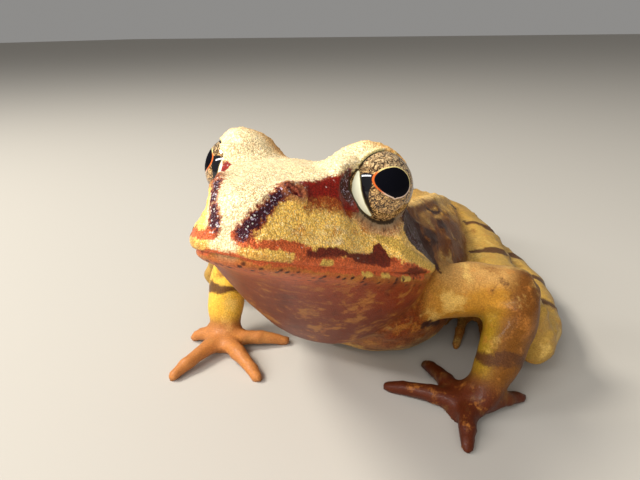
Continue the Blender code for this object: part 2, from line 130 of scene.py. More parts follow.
EAR_FOLD = ((9.2, 16.4, 4.0, 0.0), (10.4, 18.6, 3.5, 0.0), (11.4, 21.2, 1.6, 0.0),
            (11.9, 23.6, -1.4, 0.0))
NOSTRIL = ((2.9, 2.95, 2.0, 0.0), (3.2, 3.85, 1.6, 0.0))
EARDRUM = (9.9, 19.4, 0.9)
EARDRUM_RADIUS = 2.0
LID_FOLD_DROP = 0.85         # from the fold of the lower lid down to the groove under it
# Folds and pits of the face: each one's chain, its height and its width
FACE_FOLDS = ((CANTHUS, 0.14, 0.5), (NOSTRIL, 0.5, 0.8), (NOSTRIL, -0.85, 0.27),
              (LOWER_LID, 0.2, 0.35), (CHEEK_FOLD, 0.22, 0.5), (EAR_FOLD, 0.4, 0.6))

# The pupil, in millimetres: how far it reaches towards the snout, back, and up or down; how
# pointed its snout end is, from 1 to 2; and how far up it sits
PUPIL_HALF = (1.92, 1.62, 1.28)
PUPIL_POINT = 1.45
PUPIL_RAISED = 0.06

# Chains over an eyeball, in millimetres from the middle of its pupil: towards the snout, up, and
# nothing, with a half width
CRESCENT = ((3.34, 0.78, 0.0, 0.12), (3.44, 0.25, 0.0, 0.27), (3.45, -0.4, 0.0, 0.4),
            (3.36, -1.1, 0.0, 0.46), (3.05, -1.8, 0.0, 0.44), (2.6, -2.45, 0.0, 0.37),
            (1.95, -3.05, 0.0, 0.26), (1.3, -3.5, 0.0, 0.12))
FRONT_DARK = ((2.0, 0.15, 0.0, 0.3), (2.65, 0.0, 0.0, 0.62), (2.7, -1.0, 0.0, 0.5),
              (2.4, -1.85, 0.0, 0.3), (1.8, -2.6, 0.0, 0.16), (1.2, -3.1, 0.0, 0.06))

# Chains on the body, in millimetres in the model's own frame; the left side is given
BACK_FOLD = ((7.0, -10.0, 20.4, 0.3), (7.0, -4.0, 19.4, 0.35), (6.8, 3.0, 17.8, 0.35),
             (6.2, 11.0, 15.8, 0.35), (5.2, 19.0, 13.2, 0.3), (4.0, 27.0, 10.4, 0.25))
SHOULDER_MASK = ((6.2, -9.5, 20.0, 1.2), (8.0, -8.8, 18.4, 1.9), (9.4, -8.9, 16.6, 1.0),
                 (10.3, -8.2, 14.6, 0.8), (11.0, -8.2, 13.4, 0.5))
BODY_MARKS = (
    ((7.7, 1.0, 16.6, 0.5), (8.2, 5.0, 15.0, 0.3)),
    ((9.6, -1.6, 15.6, 0.4), (10.2, -0.4, 14.6, 0.3)),
    ((10.6, -9.9, 7.6, 0.6), (11.4, -6.9, 6.4, 0.55)),
)
ELBOW_MARKS = (
    ((18.0, -7.8, 13.2, 0.28), (18.8, -8.1, 12.6, 0.22)),
    ((19.2, -8.2, 12.0, 0.3), (19.4, -8.4, 11.3, 0.2)),
    ((17.3, -8.4, 12.7, 0.18), (17.4, -8.8, 11.9, 0.22)),
)
ELBOW_CREASE = ((16.4, -7.4, 9.2, 0.0), (17.8, -8.9, 9.8, 0.0), (19.6, -8.9, 10.0, 0.0),
                (21.2, -7.4, 9.8, 0.0))
# Middles of the elbow, wrist, knee and heel, each with the reach of its creases
JOINTS = ((19.4, -5.2, 11.4, 2.6), (18.4, -12.0, 2.6, 1.8), (21.6, -3.0, 5.6, 3.2),
          (11.0, 25.4, 2.8, 2.4))
# Where the fingers and toes of a left hand and foot fan out from, and how often they have knuckles
KNUCKLES_FROM = {"hand": (17.0, -13.0), "foot": (11.8, 15.0)}
KNUCKLE_PITCH = 1.9
FAR_OFF = 9.0                # millimetres, further than any marking reaches
# Scattered spots: how many, their smallest and largest size, and the seed of their places
WARTS = (420, (0.25, 0.6), 7)
PIMPLES = (1100, (0.14, 0.34), 11)
BLOTCHES = (46, (0.5, 1.5), 23)
# The line down the middle of each limb, the shares of it where dark bars lie, and their half width
LIMB_BARS = (
    ("thigh", (5.0, 25.5, 6.0), (20.7, -2.8, 6.5), (0.3, 0.56, 0.8), 1.0),
    ("shank", (22.0, -2.8, 4.0), (11.2, 26.4, 3.0), (0.2, 0.42, 0.64, 0.85), 1.0),
    ("foot", (10.8, 22.0, 2.0), (12.4, 3.0, 1.0), (0.15, 0.42, 0.68), 0.7),
    ("forearm", (19.2, -5.6, 10.6), (18.0, -11.0, 3.6), (0.78,), 0.62),
)

# Smaller tones of the skin and the eyes; the main colours are properties of the scene
TONES = {
    # partly painted light along the back fold's crest
    "back fold": (0.86, 0.60, 0.22),
    "front flank": (0.14, 0.038, 0.007),
    # painted shade on the near arm
    "outer elbow": (0.135, 0.042, 0.005),
    "lower forearm": (0.16, 0.058, 0.006),
    "inner forearm": (0.35, 0.215, 0.015),
    # painted light on the arm on the far side
    "far arm": (0.86, 0.50, 0.06),
    # painted light on the hand on the far side
    "far hand": (0.56, 0.22, 0.06),
    "back of brow": (0.86, 0.42, 0.07),
    "under the eye": (0.50, 0.25, 0.14),
    # painted shade in the groove below the lower lid
    "groove under the eye": (0.12, 0.045, 0.022),
    "upper lid": (0.74, 0.62, 0.26),
    # painted shade where the lids meet the eyeball
    "lid contact shadow": (0.04, 0.024, 0.012),
    # painted shade between the grains
    "granule gap shade": (0.50, 0.30, 0.17),
    "clouding": (0.50, 0.19, 0.035),
    "brightening": (1.25, 1.2, 1.1),
    "cheek rust": (0.52, 0.14, 0.02),
    "gilt": (1.0, 0.84, 0.42),
    "limb tan": (0.26, 0.10, 0.02),
    "limb straw": (0.86, 0.60, 0.17),
    "throat yellow": (0.56, 0.25, 0.04),
    "throat brown": (0.10, 0.018, 0.007),
    "lip lobe": (0.15, 0.022, 0.010),
    "bar": (0.09, 0.032, 0.010),
    "lip spot": (0.66, 0.43, 0.09),
    "lip dot": (0.06, 0.012, 0.006),
    "mask glow": (0.36, 0.07, 0.012),
    "front of the eye": (0.07, 0.008, 0.007),
    "stripe edge": (0.26, 0.045, 0.015),
    "nostril mound": (0.40, 0.14, 0.06),
    "nostril edge": (0.09, 0.014, 0.010),
    "nostril lip": (0.62, 0.17, 0.09),
    # painted shade inside the nostril's opening
    "shaded nostril slit": (0.12, 0.010, 0.008),
    # painted glints on the wet marks
    "painted sparkle": (0.58, 0.46, 0.58),
    "crown speck": (0.52, 0.22, 0.05),
    # painted sparkle on the crown
    "painted crown sparkle": (1.0, 0.98, 0.86),
    # partly painted light: the iris tones are lighter above than below
    "iris light below": (0.80, 0.50, 0.19),
    "iris light above": (0.80, 0.60, 0.32),
    "iris dark below": (0.13, 0.05, 0.018),
    "iris dark above": (0.28, 0.14, 0.05),
    "iris vein": (0.02, 0.009, 0.005),
    "iris front": (0.006, 0.006, 0.008),
    "pupil ring below": (0.70, 0.50, 0.38),
    "pupil ring above": (0.78, 0.62, 0.24),
    "pupil ring ahead": (0.60, 0.12, 0.02),
    "crescent edge": (0.30, 0.24, 0.08),
    "pupil": (0.003, 0.003, 0.005),
    # painted shade on the eyeball under the lids
    "eyeball rim shadow": (0.012, 0.008, 0.005),
    "floor": (0.46, 0.43, 0.38),
    "key light": (1.0, 0.96, 0.88),
    "room light": (1.0, 0.98, 0.95),
}


class FrogShape(bpy.types.PropertyGroup):
    voxel: FloatProperty(name="Skin mesh size",
                         description="Size of the skin's faces before the head is made finer",
                         default=0.00044, min=0.0002, max=0.001, precision=5, unit="LENGTH")
    swell: FloatProperty(name="Seam closing",
                         description="Growth that closes the thin cuts between the solids",
                         default=0.00021, min=0.0001, max=0.0004, precision=5, unit="LENGTH")
    smoothing: IntProperty(name="Smoothing", description="Rounds of even-handed smoothing",
                           default=34, min=0, max=100)
    fold_height: FloatProperty(name="Fold height", description="Height of the folds along the back",
                               default=0.00042, min=0.0, max=0.001, precision=5, unit="LENGTH")
    wart_height: FloatProperty(name="Wart height", description="Height of the largest warts",
                               default=0.00022, min=0.0, max=0.001, precision=5, unit="LENGTH")


def colour_property(name, description, *value):
    """A colour that can be changed in the sidebar."""
    return FloatVectorProperty(name=name, description=description, subtype="COLOR", size=4,
                               default=(*value, 1.0), min=0.0, max=1.0)


class FrogColours(bpy.types.PropertyGroup):
    cream: colour_property("Cream", "Top of the snout and lids", 0.90, 0.75, 0.44)
    gold: colour_property("Gold", "Sides of the snout", 1.0, 0.64, 0.14)
    ochre: colour_property("Ochre", "Back and flanks", 0.36, 0.15, 0.03)
    amber: colour_property("Amber", "Limbs", 0.43, 0.195, 0.02)
    rust: colour_property("Rust", "Throat and chest", 0.24, 0.034, 0.005)
    # Painted shade: the hands' colour is kept dark, as for a hand in shadow, and the far one is
    # lightened over it
    finger: colour_property("Finger", "Near hand", 0.072, 0.013, 0.003)
    brick: colour_property("Brick", "Lips", 0.58, 0.12, 0.035)
    maroon: colour_property("Maroon", "Mask from nostril to eye", 0.26, 0.012, 0.006)
    plum: colour_property("Plum", "Stripes down the snout", 0.05, 0.010, 0.018)
    olive: colour_property("Olive", "Legs and lower flanks", 0.38, 0.23, 0.045)
    # Partly painted shade: the belly colour is kept darker, as under the trunk
    belly: colour_property("Belly", "Underside of the trunk", 0.40, 0.29, 0.10)
    lid: colour_property("Lower lid", "Bare skin of the lower lids", 0.27, 0.18, 0.10)
    # Partly painted light: the crescent is the iris's pale front edge, painted as bright as the
    # light caught there
    crescent: colour_property("Crescent", "Pale crescent in front of each pupil", 0.97, 0.96, 0.70)
    umber: colour_property("Umber", "Dark spots and cheek mask", 0.055, 0.018, 0.009)


class FrogStage(bpy.types.PropertyGroup):
    key_power: FloatProperty(name="Key light", description="Power of the main light",
                             default=0.88, min=0.0, max=20.0, unit="POWER")
    strip_power: FloatProperty(name="Strip light", description="Power of the strip light in front",
                               default=3.0, min=0.0, max=40.0, unit="POWER")
    front_power: FloatProperty(name="Front light",
                               description="Power of the large soft light in front",
                               default=2.9, min=0.0, max=40.0, unit="POWER")
    room: FloatProperty(name="Room light", description="Strength of the even light all round",
                        default=0.27, min=0.0, max=5.0)


# Places in the head's axes

def head_frame():
    """From the head's own axes, in millimetres, to the model's frame in metres."""
    turn = (Matrix.Rotation(math.radians(HEAD_YAW), 3, "Z")
            @ Matrix.Rotation(math.radians(-HEAD_PITCH), 3, "X")
            @ Matrix.Rotation(math.radians(HEAD_ROLL), 3, "Y"))
    eyes = [sum(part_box("eye_" + side), Vector()) / 2 for side in SIDES]
    between = (eyes[0] + eyes[1]) / 2
    tip = between - turn @ Vector((0.0, EYE_AT[1], EYE_AT[2])) * MM
    return Matrix.Translation(tip) @ turn.to_4x4() @ Matrix.Scale(MM, 4)


TO_MODEL = head_frame()
TO_HEAD = TO_MODEL.inverted()


def looking(angles, sign=1.0):
    """A direction in the head's axes from degrees out of forward and degrees up."""
    out, up = (math.radians(a) for a in angles)
    level = math.cos(up)
    return Vector((sign * math.sin(out) * level, -math.cos(out) * level, math.sin(up)))


def moved(points, matrix):
    """An array of points taken through a matrix."""
    m = np.array(matrix)
    return points @ m[:3, :3].T + m[:3, 3]


def chain_distance(points, chain):
    """Distance of each point from a chain of tapered lengths; less than zero inside them."""
    best = np.full(len(points), 1e6)
    for near, far in zip(chain, chain[1:]):
        near, far = np.array(near, dtype=float), np.array(far, dtype=float)
        along = far[:3] - near[:3]
        share = np.clip((points - near[:3]) @ along / (along @ along), 0.0, 1.0)
        gap = np.linalg.norm(points - near[:3] - share[:, None] * along, axis=1)
        best = np.minimum(best, gap - near[3] - (far[3] - near[3]) * share)
    return best


def nearest(points, chains):
    """Distance of each point from the nearest of some chains."""
    return np.minimum.reduce([chain_distance(points, chain) for chain in chains])


def hump(distance, width):
    """1 where a distance is nought, falling smoothly away over a width."""
    return np.exp(-(distance / width) ** 2)


def ramp(values, low, high):
    """A smooth step from 0 at low to 1 at high."""
    share = np.clip((values - low) / (high - low), 0.0, 1.0)
    return share * share * (3.0 - 2.0 * share)


# Meshes

def new_object(name, bm):
    """Put a finished bmesh in the scene as an object."""
    mesh = bpy.data.meshes.new(name)
    bm.to_mesh(mesh)
    bm.free()
    obj = bpy.data.objects.new(name, mesh)
    bpy.context.scene.collection.objects.link(obj)
    return obj


def settle(obj):
    """Fix the result of an object's modifiers in its mesh."""
    graph = bpy.context.evaluated_depsgraph_get()
    graph.update()
    mesh = bpy.data.meshes.new_from_object(obj.evaluated_get(graph))
    obj.modifiers.clear()
    obj.data = mesh
    return obj


def places(mesh):
    """Where each point of a mesh is."""
    flat = np.empty(len(mesh.vertices) * 3)
    mesh.vertices.foreach_get("co", flat)
    return flat.reshape(-1, 3)


def place(mesh, points):
    """Move each point of a mesh."""
    mesh.vertices.foreach_set("co", points.ravel())
    mesh.update()


def outward(mesh):
    """The direction in which each point of a mesh faces."""
    flat = np.empty(len(mesh.vertices) * 3)
    mesh.vertex_normals.foreach_get("vector", flat)
    return flat.reshape(-1, 3)


def relax(mesh, weight, rounds, pulls=(0.5, -0.52)):
    """Even out a surface: each round pulls points in and, to keep its size, pushes them back."""
    pairs = np.empty(len(mesh.edges) * 2, dtype=np.int32)
    mesh.edges.foreach_get("vertices", pairs)
    a, b = pairs.reshape(-1, 2).T
    size = len(mesh.vertices)
    links = np.maximum(np.bincount(a, minlength=size) + np.bincount(b, minlength=size), 1)
    points = places(mesh)
    for _ in range(rounds):
        for pull in pulls:
            sums = [np.bincount(a, points[b, k], size) + np.bincount(b, points[a, k], size)
                    for k in range(3)]
            middle = np.stack(sums, axis=1) / links[:, None]
            points += (middle - points) * (pull * weight)[:, None]
    place(mesh, points)


def node_tree(names):
    """A search tree over the surfaces of some CAD nodes."""
    corners, faces = [], []
    for name in names:
        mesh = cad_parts[name].data
        start = len(corners)
        corners += [v.co for v in mesh.vertices]
        faces += [[start + i for i in p.vertices] for p in mesh.polygons]
    return BVHTree.FromPolygons(corners, faces)


def store(mesh, name, values):
    """Keep one number for each point of a mesh."""
    kept = mesh.attributes.new(name, "FLOAT", "POINT")
    kept.data.foreach_set("value", np.ascontiguousarray(values, dtype=np.float32))


# The skin's shape

FLOOR_REACH = 0.0001         # metres; skin lower than this is laid flat on the floor
PART_BLEND = 0.5             # millimetres over which one part's finish gives way to the next
BODY_PARTS = ("head", "lower_jaw", "trunk", "upper_arm", "forearm", "hand", "thigh", "shank",
              "foot")


def flesh_names(part):
    """The nodes of one part of the body, on both sides."""
    return [n for n in sorted(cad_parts) if n == part or n.rsplit("_", 1)[0] == part]


FLESH = [n for n in sorted(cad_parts) if not n.startswith("eye_")]


def grown_flesh(shape):
    """Every node of flesh swollen a little and grown together into one closed surface."""
    whole = bmesh.new()
    for name in FLESH:
        part = bmesh.new()
        part.from_mesh(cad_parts[name].data)
        bmesh.ops.remove_doubles(part, verts=part.verts, dist=1e-6)
        bmesh.ops.recalc_face_normals(part, faces=part.faces)
        for vert in part.verts:
            vert.co += vert.normal * shape.swell
        mesh = bpy.data.meshes.new(name)
        part.to_mesh(mesh)
        part.free()
        whole.from_mesh(mesh)
        bpy.data.meshes.remove(mesh)
    skin = new_object("skin", whole)
    remesh = skin.modifiers.new("Grow together", "REMESH")
    remesh.mode = "VOXEL"
    remesh.voxel_size = shape.voxel
    return settle(skin)


def shares(points):
    """How far each point belongs to each part of the body, from 0 to 1."""
    gaps = {}
    for part in BODY_PARTS:
        tree = node_tree(flesh_names(part))
        gaps[part] = np.array([tree.find_nearest(Vector(p))[3] for p in points]) / MM
    least = np.min(list(gaps.values()), axis=0)
    pulls = {part: np.exp(-(gap - least) / PART_BLEND) for part, gap in gaps.items()}
    total = sum(pulls.values())
    return {part: pull / total for part, pull in pulls.items()}


def finer(skin, chosen):
    """Split once more the faces whose points are all chosen."""
    bm = bmesh.new()
    bm.from_mesh(skin.data)
    faces = [f for f in bm.faces if all(chosen[v.index] for v in f.verts)]
    edges = list({e for f in faces for e in f.edges})
    bmesh.ops.subdivide_edges(bm, edges=edges, cuts=1, use_grid_fill=True)
    bm.to_mesh(skin.data)
    bm.free()


def side_signs(head_points):
    """What takes each point of the head to its left side, or back again."""
    return np.where(head_points[:, :1] < 0, [[-1.0, 1.0, 1.0]], [[1.0, 1.0, 1.0]])


def one_side(head_points):
    """Points of the head brought to its left side."""
    return head_points * side_signs(head_points)


def left_side(points):
    """Points of the body brought to its left side."""
    return np.abs(points * [1.0, 0.0, 0.0]) + points * [0.0, 1.0, 1.0]


def round_eyes(head_points):
    """Each point of the head as seen from the nearer eye: how far off it is, its heading, its angle
    from the lids' axis, how wide the lids open there, how much it lies below, from 0 to 1, and the
    degrees round the axis."""
    arm = one_side(head_points) - np.array(EYE_AT)
    reach = np.linalg.norm(arm, axis=1)
    heading = arm / reach[:, None]
    axis = np.array(looking(LID_LOOKS))
    front = np.array((0.0, -1.0, 0.0)) + axis * axis[1]
    front /= np.linalg.norm(front)
    up = np.cross(axis, front)
    up *= math.copysign(1.0, up[2])
    angle = np.degrees(np.arccos(np.clip(heading @ axis, -1.0, 1.0)))
    around = np.degrees(np.arctan2(heading @ up, heading @ front))
    left, right = (np.interp(around, LID_ROUND, LID_OPENS[side]) for side in SIDES)
    opens = np.where(head_points[:, 0] < 0, right, left)
    low = 1.0 - ramp(heading @ up, -0.35, 0.15)
    return reach, heading, angle, opens, low, around


def past_lids(head_points):
    """How far each point lies past the edge of the lids, measured over the eyeball and growing
    with the height above it."""
    reach, _, angle, opens, *_ = round_eyes(head_points)
    past = np.radians(angle - opens) * EYE_RADIUS
    return past + 1.5 * np.maximum(reach - EYE_RADIUS - LID_GAP, 0.0)


def brow_wall(head_points):
    """Where the left brow's steep wall stands over the front corner of its eye, from 0 to 1."""
    reach, *_, around = round_eyes(head_points)
    over = ramp(around, -4.0, 8.0) * (1.0 - ramp(around, 36.0, 62.0))
    close = 1.0 - ramp(reach, EYE_RADIUS + 2.2, EYE_RADIUS + 3.4)
    return over * ramp(past_lids(head_points), 0.3, 0.6) * close * (head_points[:, 0] > 0)


def shape_lids(head_points, facing):
    """Widen or narrow the lids to their edge, draw the socket in under the eyeball and roll the
    edge; facing is the skin's normals in the head's axes, brought to its left side."""
    reach, heading, angle, opens, low, _ = round_eyes(head_points)
    axis = np.array(looking(LID_LOOKS))
    above = ramp(heading[:, 2], 0.25, 0.6)
    shift = (opens - LID_RIM) * (1.0 - ramp(reach, EYE_RADIUS + 0.8, EYE_RADIUS + 3.4))
    shift *= 1.0 - ramp(angle, 100.0, 160.0)
    aside = heading - axis * np.cos(np.radians(angle))[:, None]
    aside /= np.linalg.norm(aside, axis=1)[:, None]
    angle = angle + shift
    past = np.radians(angle - opens) * EYE_RADIUS
    turned = np.radians(angle)[:, None]
    heading = axis * np.cos(turned) + aside * np.sin(turned)
    edge = EYE_RADIUS + LID_GAP - 0.02 * low
    rolled = EYE_RADIUS - LID_TUCK + (edge - EYE_RADIUS + LID_TUCK) * ramp(past, -0.12, 0.16)
    skin = rolled + (np.maximum(reach, edge) - rolled) * ramp(past, 0.2, 1.5 - 0.4 * low)
    high = EYE_RADIUS + 0.9 + 0.9 * above
    skin += (reach - skin) * ramp(reach, high, high + 0.8 + 0.4 * above)
    outer = np.sum(facing * (one_side(head_points) - np.array(EYE_AT)), axis=1) / reach
    outer = np.where(reach < EYE_RADIUS + 0.9, ramp(outer, -0.25, 0.3), 1.0)
    wanted = EYE_RADIUS - SOCKET_DEPTH + (skin - EYE_RADIUS + SOCKET_DEPTH) * outer
    close = (reach < EYE_RADIUS + 3.5)[:, None]
    side = np.where(close, np.array(EYE_AT) + heading * wanted[:, None], one_side(head_points))
    return side * side_signs(head_points)


def mouth_level(back):
    """Level of the mouth line so far back from the snout tip."""
    return MOUTH_LEVEL - back * math.tan(math.radians(MOUTH_DROP))


def on_trunk(chain):
    """A chain brought down onto the trunk's own surface."""
    tree = node_tree(["trunk"])
    return [(*(tree.find_nearest(Vector(point[:3]) * MM)[0] / MM), point[3]) for point in chain]


def face_relief(side):
    """Height of the face's folds, lips, nostrils and eardrums, in millimetres."""
    lift = sum(height * hump(chain_distance(side, chain), width)
               for chain, height, width in FACE_FOLDS)
    above = side[:, 2] - mouth_level(side[:, 1])
    lips = 1.0 - ramp(side[:, 1], 20.0, 22.0)
    lift += lips * (0.1 * hump(above - 0.65, 0.4) + 0.1 * hump(above + 0.6, 0.4)
                    - 0.3 * hump(above, 0.16))
    under_lid = side + np.array((0.0, 0.0, LID_FOLD_DROP))
    lift -= 0.16 * hump(chain_distance(under_lid, LOWER_LID), 0.35)
    from_ear = np.linalg.norm(side - np.array(EARDRUM), axis=1)
    lift += 0.14 * hump(from_ear - EARDRUM_RADIUS - 0.1, 0.25) - 0.16 * hump(from_ear, 1.3)
    return lift


def scattered(points, spots, sizes):
    """How strongly each point is covered by round spots, from 0 to 1."""
    cover = np.zeros(len(points))
    for spot, size in zip(spots, sizes):
        near = np.flatnonzero(np.abs(points - spot).max(axis=1) < 2.5 * size)
        apart = np.linalg.norm(points[near] - spot, axis=1)
        cover[near] = np.maximum(cover[near], hump(apart, size))
    return cover


def chosen_spots(points, allowed, count, sizes, seed):
    """Places picked evenly over the allowed points, with a size for each."""
    rng = np.random.default_rng(seed)
    picked = points[rng.choice(np.flatnonzero(allowed), count, replace=False)]
    return picked, rng.uniform(*sizes, count)


def body_relief(points, belongs, shape):
    """Height of the back folds, warts, wrinkles and joints of the body, in millimetres."""
    left = left_side(points)
    trunk, legs = belongs["trunk"], belongs["thigh"] + belongs["shank"]
    arms = belongs["upper_arm"] + belongs["forearm"]
    fold = hump(np.maximum(chain_distance(left, on_trunk(BACK_FOLD)), 0.0), 0.6)
    lift = shape.fold_height / MM * fold * ramp(points[:, 1], -13.0, -9.0)
    warty = (trunk + legs > 0.6) & (points[:, 2] > 5.0)
    spots, sizes = chosen_spots(points, warty, *WARTS)
    lift += shape.wart_height / MM * scattered(points, spots, sizes) * (trunk + 0.8 * legs)
    spots, sizes = chosen_spots(points, belongs["head"] > 0.9, *PIMPLES)
    lift += 0.09 * scattered(points, spots, sizes) * belongs["head"]
    for part, root in KNUCKLES_FROM.items():
        knuckles = np.sin(KNUCKLE_PITCH * np.linalg.norm(left[:, :2] - root, axis=1))
        lift += 0.12 * np.maximum(knuckles, 0.0) ** 3 * belongs[part] * ramp(points[:, 2], 0.3, 1.0)
    for *centre, reach in JOINTS:
        apart = left - centre
        creases = np.sin(4.2 * apart[:, 2] - 1.6 * apart[:, 1] + 0.8 * np.sin(2.1 * apart[:, 0]))
        lift += 0.12 * creases * hump(np.linalg.norm(apart, axis=1), reach) * (arms + legs)
    crease, over = (chain_distance(left - [0.0, 0.0, up], ELBOW_CREASE) for up in (0.0, 0.7))
    lift += 0.3 * hump(over, 0.6) - 0.5 * hump(crease, 0.32)
    x, y, z = points.T
    swellings = np.sin(0.9 * x + 1.1) * np.sin(0.8 * y) * np.sin(1.0 * z + 0.5)
    lift += 0.22 * swellings * (arms + legs + 0.7 * trunk)
    return lift


def refine_head(skin, belongs):
    """Split the head's faces once, and those round the lids and nostrils once more."""
    mesh = skin.data
    finer(skin, belongs["head"] + belongs["lower_jaw"] > 0.5)
    relax(mesh, 1.0 * (moved(places(mesh), TO_HEAD)[:, 1] < HEAD_END), 4)
    head_points = moved(places(mesh), TO_HEAD)
    reach, _, angle, *_ = round_eyes(head_points)
    lids = (reach < EYE_RADIUS + 1.1) & (np.abs(angle - LID_RIM) < 24.0)
    finer(skin, lids | (chain_distance(one_side(head_points), NOSTRIL) < 1.2))


def set_lids(mesh):
    """Fit the lids to the eyeballs, and smooth the brow that stands over the left one."""
    facing = outward(mesh) @ np.array(TO_MODEL.to_3x3()) / MM
    head_points = moved(places(mesh), TO_HEAD)
    head_points = shape_lids(head_points, facing * side_signs(head_points))
    place(mesh, moved(head_points, TO_MODEL))
    relax(mesh, brow_wall(head_points), 70, (0.5,))


def raise_relief(mesh, belongs, shape):
    """Push the skin out and in for its folds, lips, warts and creases, clear of the lids."""
    points = places(mesh) / MM
    head_points = moved(places(mesh), TO_HEAD)
    face = belongs["head"] + belongs["lower_jaw"]
    past = past_lids(head_points)
    *_, low, _ = round_eyes(head_points)
    clear = ramp(past, 0.3, 0.9)
    lift = face_relief(one_side(head_points)) * ramp(face, 0.2, 0.7) * clear
    lift += body_relief(points, belongs, shape) * clear
    lift += face * low * (0.12 * hump(past - 0.42, 0.22) - 0.24 * hump(past - 0.9, 0.17))
    points = (points + outward(mesh) * lift[:, None]) * MM
    points[:, 2] = np.where(points[:, 2] < FLOOR_REACH, 0.0, points[:, 2])
    place(mesh, points)


def make_skin(shape):
    """The whole skin, and how far each of its points belongs to each part of the body."""
    skin = grown_flesh(shape)
    mesh = skin.data
    belongs = shares(places(mesh))
    relax(mesh, 1.0 - 0.7 * (belongs["hand"] + belongs["foot"]), shape.smoothing)
    place(mesh, places(mesh) - outward(mesh) * (shape.swell * 0.9))
    refine_head(skin, belongs)
    belongs = shares(places(mesh))
    relax(mesh, belongs["head"] + belongs["lower_jaw"], 3)
    set_lids(mesh)
    raise_relief(mesh, belongs, shape)
    mesh.shade_smooth()
    return skin, belongs


def bar_distance(left, belongs):
    """Distance from the dark bars across the limbs; less than zero inside them."""
    best = np.full(len(left), FAR_OFF)
    for part, start, end, bars, width in LIMB_BARS:
        start, end = np.array(start), np.array(end)
        length = np.linalg.norm(end - start)
        wander = 0.5 * np.sin(0.9 * left[:, 2] + 0.7 * left[:, 0])
        along = (left - start) @ (end - start) / length + wander
        elsewhere = FAR_OFF * (1.0 - ramp(belongs[part], 0.3, 0.6))
        for share in bars:
            uneven = 0.8 + 0.35 * np.sin(1.7 * left[:, 2] - 0.8 * left[:, 0] + 9.0 * share)
            gap = np.abs(along - share * length) - width * uneven
            best = np.minimum(best, gap + elsewhere)
    return best


def tone(colours, name):
    """One of the scene's main colours, or one of the smaller tones, by its name."""
    value = TONES[name] if name in TONES else getattr(colours, name)
    return (*value[:3], 1.0)


